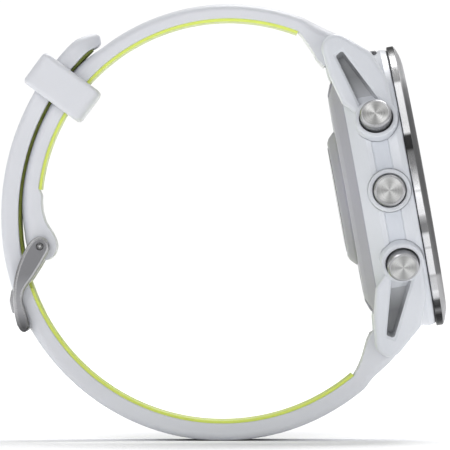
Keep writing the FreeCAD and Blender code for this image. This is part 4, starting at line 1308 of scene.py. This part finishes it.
@dataclass
class Strap:
    """The two halves of the strap, their lime lining, and the keeper."""

    finisher: Finisher
    edge: float = 1.15
    pin: Pair = (-30.6, 32.1)
    step: float = 2.2
    short_run: Pair = (69, 173.6)
    short_taper: Pair = (76, 34)
    long_start: float = -50
    long_taper: Pair = (92, 34)
    inset: float = 0.35
    tuck: float = 3.2
    hidden: float = 7.2
    middle: float = 4
    rub: float = 0.04
    bar: Pair = (24.65, -3.95)
    bar_bore: float = 1.0
    pin_bore: float = 0.65
    lever_turn: float = 24
    lever: tuple[float, ...] = (-8.45, -0.85, -5.25, 0.85)
    notch: tuple[float, ...] = (-1.75, 27.5, 1.75, 35.7)
    hole: float = 1.25
    holes: tuple[tuple[Bend, float, float, int], ...] = ((FAR, 206.1, 9.6, 5), (WRAP, 184.2, -8.64, 6))
    tongue_hole: tuple[float, ...] = (-1.75, -1.75, 1.15, 1.75)
    tongue_hole_at: Pair = (-34.75, 24.2)
    tongue_hole_turn: float = 29
    keeper_at: float = 143.7
    keeper_hole: tuple[float, ...] = (30.85, -10.75, 38.25, 10.75)
    keeper_skin: tuple[float, ...] = (28.5, -12.6, 40.1, 12.6)
    keeper_half: float = 3.1

    def line(self, liner: bpy.types.Object) -> None:
        """Paint a lining's wrist face, and its sides where the layers hide them, with a darker copy of the
        lime as painted shade; its other edges keep the bright lime.
        """
        self.finisher.dress(liner, (LIME_SILICONE, LIME_SHADE))
        paint_faces(liner, 1, lambda at, normal: abs(at.y) < self.middle and abs(normal.y) < 0.1
                    or abs(at.y) < self.hidden)

    def run(self, bend: Bend, start: float, end: float, half: Callable[[float], float],
            liner: bool = False) -> list[Station]:
        """Stations at even angles along a bend."""
        count = max(2, round(abs(end - start) / self.step))
        angles = [start + (end - start) * i / count for i in range(count + 1)]
        return [bend.station(angle, half(angle), liner) for angle in angles]

    def crowned(self, stations: Sequence[Station]) -> list[Station]:
        """Raise the short half's outer face until the long half rests on it."""
        out = []
        middle = Vector((WRAP.centre[0], 0, WRAP.centre[1]))
        for station in stations:
            way = (station.outer - station.inner).normalized()
            angle = math.degrees(math.atan2(way.z, way.x))
            base = station.inner - middle
            along = base.dot(way)
            reach = math.sqrt(along ** 2 - base.length_squared + (WRAP.inner - self.rub) ** 2) - along
            rise = (reach - (station.outer - station.inner).length) * smooth((angle - 127) / 12)
            out.append(Station(station.inner, station.outer + way * rise, station.half))
        return out

    def bar_tools(self, end: int) -> tuple[bpy.types.Object, bpy.types.Object]:
        """The bore for a spring bar and the slot that its release lever slides in."""
        y, z = self.bar
        where = FRAMES.on_head(0, end * y, z)
        place = (FRAMES.head() @ Matrix.Translation((0, end * y, z))
                 @ Matrix.Rotation(math.radians(-end * self.lever_turn), 4, "X"))
        slot = prism("tool", rounded(box(*self.lever), 0.5, 4), -6, 0, place=place)
        return cross_bore((where.x, where.z), self.bar_bore), slot

    def buckle_half(self) -> None:
        """The half that the buckle and the keeper are on."""
        def half(angle: float) -> float:
            """Half the width at an angle."""
            return WIDE + (NARROW - WIDE) * smooth((angle - self.short_taper[0]) / self.short_taper[1])

        root = side_stations((
            ((17.9, 63.3), (20.1, 65.9)), ((17.3, 62.2), (19.5, 66.7)), ((16.3, 61.75), (18.5, 67.25)),
            ((15.25, 62.9), (17.1, 67.85)), ((14.5, 64.3), (15.9, 68.45)), ((13.75, 65.45), (14.8, 68.98)),
            ((12.95, 66.6), (13.9, 69.45))), WIDE)
        tail = side_stations((
            ((-30.3, 40.6), (-33.5, 40.6)), ((-30.32, 39.2), (-33.58, 39.2)),
            ((-30.2, 37.9), (-33.55, 37.7)), ((-29.7, 36.2), (-33.35, 35.6)),
            ((-29.15, 35.3), (-33.2, 34.6)), ((-28.55, 34.4), (-33.1, 33.7)),
            ((-28.0, 33.3), (-32.95, 32.8)), ((-27.75, 32.2), (-32.75, 31.9)),
            ((-27.95, 31.2), (-32.4, 31.0)), ((-28.5, 30.35), (-31.8, 30.25)),
            ((-29.3, 29.85), (-31.0, 29.8))), NARROW)
        start, end = self.short_run
        body = band("strap", [*root, *self.crowned(self.run(NEAR, start, end, half)), *tail], 1.65, 0.2,
                    spread=1.7)
        cut(body, prism("tool", rounded(box(*self.notch), 0.6, 4), -40, -24, "X"),
            cross_bore(self.pin, self.pin_bore), *self.bar_tools(1))
        self.finisher.settle(body, "strap_short_half", Matrix.Identity(4), "watch", "strap_white",
                             [WHITE_SILICONE], ["strap_buckle_side"], sharp=40)
        lining = self.run(NEAR, start, end + 0.2, lambda angle: half(angle) - self.inset, True)
        liner = band("liner", lining, 0.05, 0.2)
        self.line(liner)
        self.finisher.settle(liner, "lining_short_half", Matrix.Identity(4), "watch", "liner_lime",
                             [LIME_SILICONE], ["liner_buckle_side"], sharp=40)

    def hole_tools(self) -> list[bpy.types.Object]:
        """Tools for the adjusting holes and the longer hole that the tongue is in."""
        tools = []
        across = Vector((0, 1, 0))
        for bend, first, pitch, count in self.holes:
            for index in range(count):
                angle = first + pitch * index
                centre = bend.point(0, angle)
                out = (bend.point(bend.outer, angle) - centre).normalized()
                turn = Matrix((across, out.cross(across), out)).transposed().to_4x4()
                place = Matrix.Translation(centre) @ turn
                tools.append(rod(self.hole, bend.outer - 6, bend.outer + 2, place, 28))
        x, z = self.tongue_hole_at
        place = Matrix.Translation((x, 0, z)) @ Matrix.Rotation(math.radians(self.tongue_hole_turn), 4, "Y")
        tools.append(prism("tool", rounded(box(*self.tongue_hole), 0.8, 4), -3, 7, place=place))
        return tools

    def hole_half(self) -> None:
        """The long half with the adjusting holes and the tip."""
        def half(angle: float) -> float:
            """Half the width at an angle."""
            return NARROW + (WIDE - NARROW) * smooth((angle + self.long_taper[0]) / self.long_taper[1])

        root = side_stations((
            ((26.0, 17.9), (29.0, 15.7)), ((24.9, 18.25), (28.8, 14.9)), ((24.1, 17.8), (28.2, 14.0)),
            ((23.55, 16.6), (27.3, 12.95)), ((23.1, 15.0), (26.2, 11.9)), ((22.65, 13.5), (25.1, 10.95)),
            ((22.1, 12.2), (24.2, 10.0))), WIDE)
        tip = [WRAP.station(angle, wide) for angle, wide in ((139, 10.2), (137, 10.05))]
        tip += [side_station(inner, outer, wide) for inner, outer, wide in (
            ((-23.25, 63.87), (-25.25, 65.82), 9.8), ((-22.65, 64.4), (-24.55, 66.36), 9.4),
            ((-22.1, 64.72), (-23.75, 66.72), 8.9), ((-21.6, 64.9), (-22.9, 67.05), 8.3),
            ((-21.15, 65.15), (-22.0, 67.27), 7.6), ((-20.8, 65.5), (-21.3, 67.25), 6.9),
            ((-20.6, 65.85), (-20.8, 66.95), 6.2))]
        body = band("strap", [*root, *self.run(FAR, self.long_start, JOIN - 360, half),
                              *self.run(WRAP, JOIN - 2, 141, lambda _: NARROW), *tip], self.edge, 0.25)
        cut(body, *self.bar_tools(-1), *self.hole_tools())
        self.finisher.settle(body, "strap_long_half", Matrix.Identity(4), "watch", "strap_white",
                             [WHITE_SILICONE], ["strap_hole_side"], sharp=40)

        def lined(angle: float) -> float:
            """Half the lining's width at an angle; it is set in more where the layers hide it."""
            return half(angle) - self.inset - self.tuck * smooth((-160.5 - angle) / 3)

        tail = [WRAP.station(angle, wide - self.tuck, True) for angle, wide in (
            (141, 9.85), (139, 9.85), (137, 9.7), (135.4, 9.4), (134.2, 8.95), (133.2, 8.3))]
        tucked = self.run(WRAP, JOIN - 2, 143, lambda _: NARROW - self.inset - self.tuck, True)
        first = self.run(FAR, self.long_start, JOIN - 360, lined, True)
        liner = band("liner", [*first, *tucked, *tail], 0.05, 0.2)
        self.line(liner)
        cut(liner, *self.hole_tools())
        self.finisher.settle(liner, "lining_long_half", Matrix.Identity(4), "watch", "liner_lime",
                             [LIME_SILICONE], ["liner_hole_side"], sharp=40)

    def keeper(self) -> None:
        """The free loop that holds the strap's tip."""
        angle = math.radians(self.keeper_at)
        out = Vector((math.cos(angle), 0, math.sin(angle)))
        along = Vector((-out.z, 0, out.x))
        middle = NEAR.point(0, 0)
        corners = [[middle + out * reach + Vector((0, y, 0)) for reach, y in rounded(box(*edge), radius, 5)]
                   for edge, radius in ((self.keeper_hole, 0.9), (self.keeper_skin, 1.5))]
        stations = [Station(inner, outer, self.keeper_half, along) for inner, outer in zip(*corners)]
        long_way = []
        for station, after in zip(stations, [*stations[1:], stations[0]]):
            pieces = 6 if (station.outer - after.outer).length > 4 else 1
            long_way += [Station(station.inner.lerp(after.inner, part / pieces),
                                 station.outer.lerp(after.outer, part / pieces), self.keeper_half, along)
                         for part in range(pieces)]
        loop = band("keeper", [*long_way, long_way[0]], 0.85, 0.35, joined=True, steps=6)
        self.finisher.settle(loop, "keeper", Matrix.Identity(4), "keeper", "strap_white", [WHITE_SILICONE],
                             ["keeper_loop"], sharp=50)

    def build(self) -> None:
        """Make the whole strap."""
        self.buckle_half()
        self.hole_half()
        self.keeper()


# ---------------------------------------------------------------- buckle
@dataclass
class Buckle:
    """The metal buckle: two chamfered arms on a cross bar, the tongue and the pin."""

    finisher: Finisher
    pin: Pair = (-30.6, 32.1)
    bore: float = 0.64
    bar_half: float = 10.6
    tongue_half: float = 1.25
    arm_in: float = 10.45
    arm_out: float = 12.0
    chamfer: float = 0.55
    arm: tuple[Pair, ...] = (
        (-29.15, 31.05), (-28.87, 31.9), (-29.1, 32.95), (-29.8, 33.65), (-30.7, 33.85), (-31.7, 33.45),
        (-32.7, 32.25), (-33.6, 30.5), (-34.35, 28.6), (-34.95, 26.1), (-35.02, 23.6), (-34.85, 21.2),
        (-34.4, 19.2), (-33.75, 18.1), (-33.05, 17.85), (-32.45, 18.35), (-32.25, 19.4), (-32.8, 21.4),
        (-33.35, 23.2), (-33.35, 24.2), (-32.85, 25.25), (-31.7, 26.8), (-30.5, 28.7))
    bar: tuple[Pair, ...] = (
        (-34.86, 21.3), (-34.38, 19.1), (-33.7, 18.1), (-33.05, 17.9), (-32.6, 18.35), (-33.1, 19.9),
        (-33.8, 21.3))
    bar_round: tuple[float, ...] = (0.3, 1, 1, 0.4, 0.3, 1, 0.3)
    rest: tuple[float, ...] = (-36, 20.4, -34.1, 22)
    rest_half: float = 1.7
    hub: float = 1.33
    blade: tuple[Pair, ...] = (
        (-31.5, 31.6), (-33.2, 28.2), (-35.5, 24.7), (-35.75, 22.9), (-35.3, 21.0), (-34.45, 20.95),
        (-34.35, 23.9), (-32.2, 27.7), (-30.0, 31.2))
    blade_round: tuple[float, ...] = (0.5, 3, 1.5, 1.5, 0.3, 0.3, 2.5, 3, 0.5)
    pin_end: tuple[Pair, ...] = (
        (0, 11.9), (0.2, 11.9), (0.27, 11.84), (0.3, 11.45), (0.44, 11.38), (0.5, 11.45), (0.53, 11.78),
        (0.6, 11.7))

    def one_arm(self) -> bpy.types.Object:
        """The arm at 3 o'clock, with bright rounded edges about its blasted outer face."""
        outline = rounded(self.arm, 9.0, 3)
        arm = prism("arm", outline, self.arm_in, self.arm_out, "Y")
        self.finisher.dress(arm, (BUCKLE_FACE, BUCKLE_EDGE))
        with editing(arm):
            tidy_mesh(0.04)
        bevel(arm, self.chamfer, 3, 60, slot=1, clamped=False)
        paint_faces(arm, 1, lambda _, normal: normal.y < 0.9)
        cut(arm, cross_bore(self.pin, self.bore))
        return arm

    def build(self) -> None:
        """Make the buckle."""
        row = Matrix.Identity(4)
        arm = self.one_arm()
        other = copy_of(arm, Matrix.Diagonal((1, -1, 1, 1)))
        bar = prism("bar", rounded(self.bar, self.bar_round, 3), -self.bar_half, self.bar_half, "Y")
        cut(bar, prism("tool", rounded(box(*self.rest), 0.2, 2), -self.rest_half, self.rest_half, "Y"))
        self.finisher.dress(bar, (BUCKLE_FACE, BUCKLE_EDGE))
        paint_faces(bar, 1, lambda *_: True)
        self.finisher.settle(join(arm, other, bar), "buckle", row, "buckle", "buckle_metal",
                             [BUCKLE_FACE, BUCKLE_EDGE], ["buckle_frame"], sharp=28)
        hub = prism("hub", arc(self.pin, self.hub, 0, 350, 35), -self.tongue_half, self.tongue_half, "Y")
        outline = rounded(self.blade, self.blade_round, 4)
        blade = prism("blade", outline, -self.tongue_half, self.tongue_half, "Y")
        bevel(blade, 0.25, 3, 40)
        bevel(hub, 0.15, 2, 40)
        for part in (hub, blade):
            cut(part, cross_bore(self.pin, self.bore))
        self.finisher.settle(join(hub, blade), "tongue", row, "tongue", "buckle_metal", [BUCKLE_EDGE],
                             ["buckle_tongue"])
        pin = lathe("pin", (*self.pin_end, (0.6, 0), *((r, -z) for r, z in reversed(self.pin_end))), 40)
        self.finisher.settle(pin, "buckle_pin", crosswise(*self.pin), "watch", "screw_steel", [STEEL],
                             ["buckle_bar"])


# ---------------------------------------------------------------- studio
@dataclass
class Studio:
    """A plain pale floor, soft light and a long-lens camera level with the watch's side."""

    distance: float = 2.0
    height: float = 0.03565
    view: float = 0.07475
    floor_size: float = 6.0
    floor_level: float = -0.00002
    aim: float = 0.035
    pale: tuple[float, ...] = (150, 500, 0.32, 1.0)
    shadow: Pair = (6, 34)
    shadow_depth: float = 0.25
    soft_tone: tuple[float, float, float] = (0.32, 0.325, 0.335)
    backdrop: float = 1.05
    mirrored: tuple[Pair, ...] = ((0.16, 0.55), (0.3, 0.2), (0.52, 1.0), (0.8, 0.7))
    mirrored_low: float = 0.75
    lights: tuple[tuple[tuple[float, float, float], float, float], ...] = (
        ((-0.8, -1.2, 0.9), 0.8, 5.5), ((0.9, -1.1, 0.3), 0.5, 1.2), ((0.2, 0.9, 1.2), 0.7, 13.5))

    def floor(self) -> None:
        """The floor the watch stands on: it glows so that it reads white, and its glow is lower near the
        watch and gone under it, a painted shadow over the shadow the lamps cast.
        """
        bpy.ops.object.select_all(action="DESELECT")
        bpy.ops.mesh.primitive_plane_add(size=self.floor_size, location=(0, 0, self.floor_level))
        floor = bpy.context.object
        floor.name = "floor"
        graph = Graph("pale_floor", False)
        mottle = graph.noise(0.004, 2)
        x, y, _ = graph.parts(graph.place)
        # painted shadow: less glow near the watch, none in an oval under it
        near = graph.reach(x, graph.math("MULTIPLY", y, self.shadow_depth))
        glow = graph.math("MULTIPLY", graph.span(graph.reach(x, y), *self.pale),
                          graph.span(near, *self.shadow, 0, 1))
        graph.set(Base_Color=graph.blend(mottle, (0.86, 0.86, 0.87), (0.88, 0.88, 0.89)), Roughness=0.9,
                  Emission_Color=(1, 1, 1, 1), Emission_Strength=glow)
        floor.data.materials.append(graph.material)

    def light(self) -> None:
        """Three soft boxes."""
        for index, (where, size, power) in enumerate(self.lights):
            lamp = bpy.data.lights.new(f"soft_box_{index}", "AREA")
            lamp.size, lamp.energy = size, power
            obj = bpy.data.objects.new(lamp.name, lamp)
            obj.location = where
            way = Vector((0, 0, self.aim)) - Vector(where)
            obj.rotation_euler = way.to_track_quat("-Z", "Y").to_euler()
            bpy.context.scene.collection.objects.link(obj)

    def surround(self) -> None:
        """A surround that is even for plain light, graded for reflections and white behind the watch."""
        world = bpy.data.worlds.new("surround")
        world.use_nodes = True
        bpy.context.scene.world = world
        nodes, links = world.node_tree.nodes, world.node_tree.links
        soft, plain, glossy = nodes["Background"], *(nodes.new("ShaderNodeBackground") for _ in range(2))
        soft.inputs["Color"].default_value = (*self.soft_tone, 1)
        plain.inputs["Color"].default_value = (1, 1, 1, 1)
        plain.inputs["Strength"].default_value = self.backdrop
        where, height = nodes.new("ShaderNodeTexCoord"), nodes.new("ShaderNodeSeparateXYZ")
        ramp = nodes.new("ShaderNodeValToRGB")
        links.new(where.outputs["Generated"], height.inputs[0])
        links.new(height.outputs["Z"], ramp.inputs[0])
        for position, tone in self.mirrored:
            ramp.color_ramp.elements.new(position).color = (tone, tone, tone, 1)
        ramp.color_ramp.elements[0].color = (self.mirrored_low,) * 3 + (1,)
        links.new(ramp.outputs["Color"], glossy.inputs["Color"])
        path, shader = nodes.new("ShaderNodeLightPath"), soft
        for ray, other in (("Is Glossy Ray", glossy), ("Is Camera Ray", plain)):
            mix = nodes.new("ShaderNodeMixShader")
            for socket, source in zip(mix.inputs, (path.outputs[ray], shader.outputs[0], other.outputs[0])):
                links.new(source, socket)
            shader = mix
        links.new(shader.outputs[0], nodes["World Output"].inputs[0])

    def camera(self) -> None:
        """A camera far off on the 9 o'clock side."""
        lens = bpy.data.cameras.new("camera")
        lens.sensor_width = 36
        lens.lens = lens.sensor_width * self.distance / self.view
        obj = bpy.data.objects.new("camera", lens)
        obj.location = (0, -self.distance, self.height)
        obj.rotation_euler = (math.pi / 2, 0, 0)
        bpy.context.scene.collection.objects.link(obj)
        bpy.context.scene.camera = obj

    def build(self) -> None:
        """Set up the studio."""
        self.floor()
        self.light()
        self.surround()
        self.camera()
        bpy.context.scene.view_settings.view_transform = "Standard"


def main() -> None:
    """Build the watch and the studio, and log each piece's face count."""
    logging.basicConfig(level=logging.INFO, format="%(name)s %(message)s")
    finisher = Finisher()
    for maker in (Housing(finisher), Front(finisher), Back(finisher), Buttons(finisher), Strap(finisher),
                  Buckle(finisher)):
        maker.build()
    finisher.dress_nodes()
    Studio().build()


if __name__ == "__main__":
    main()
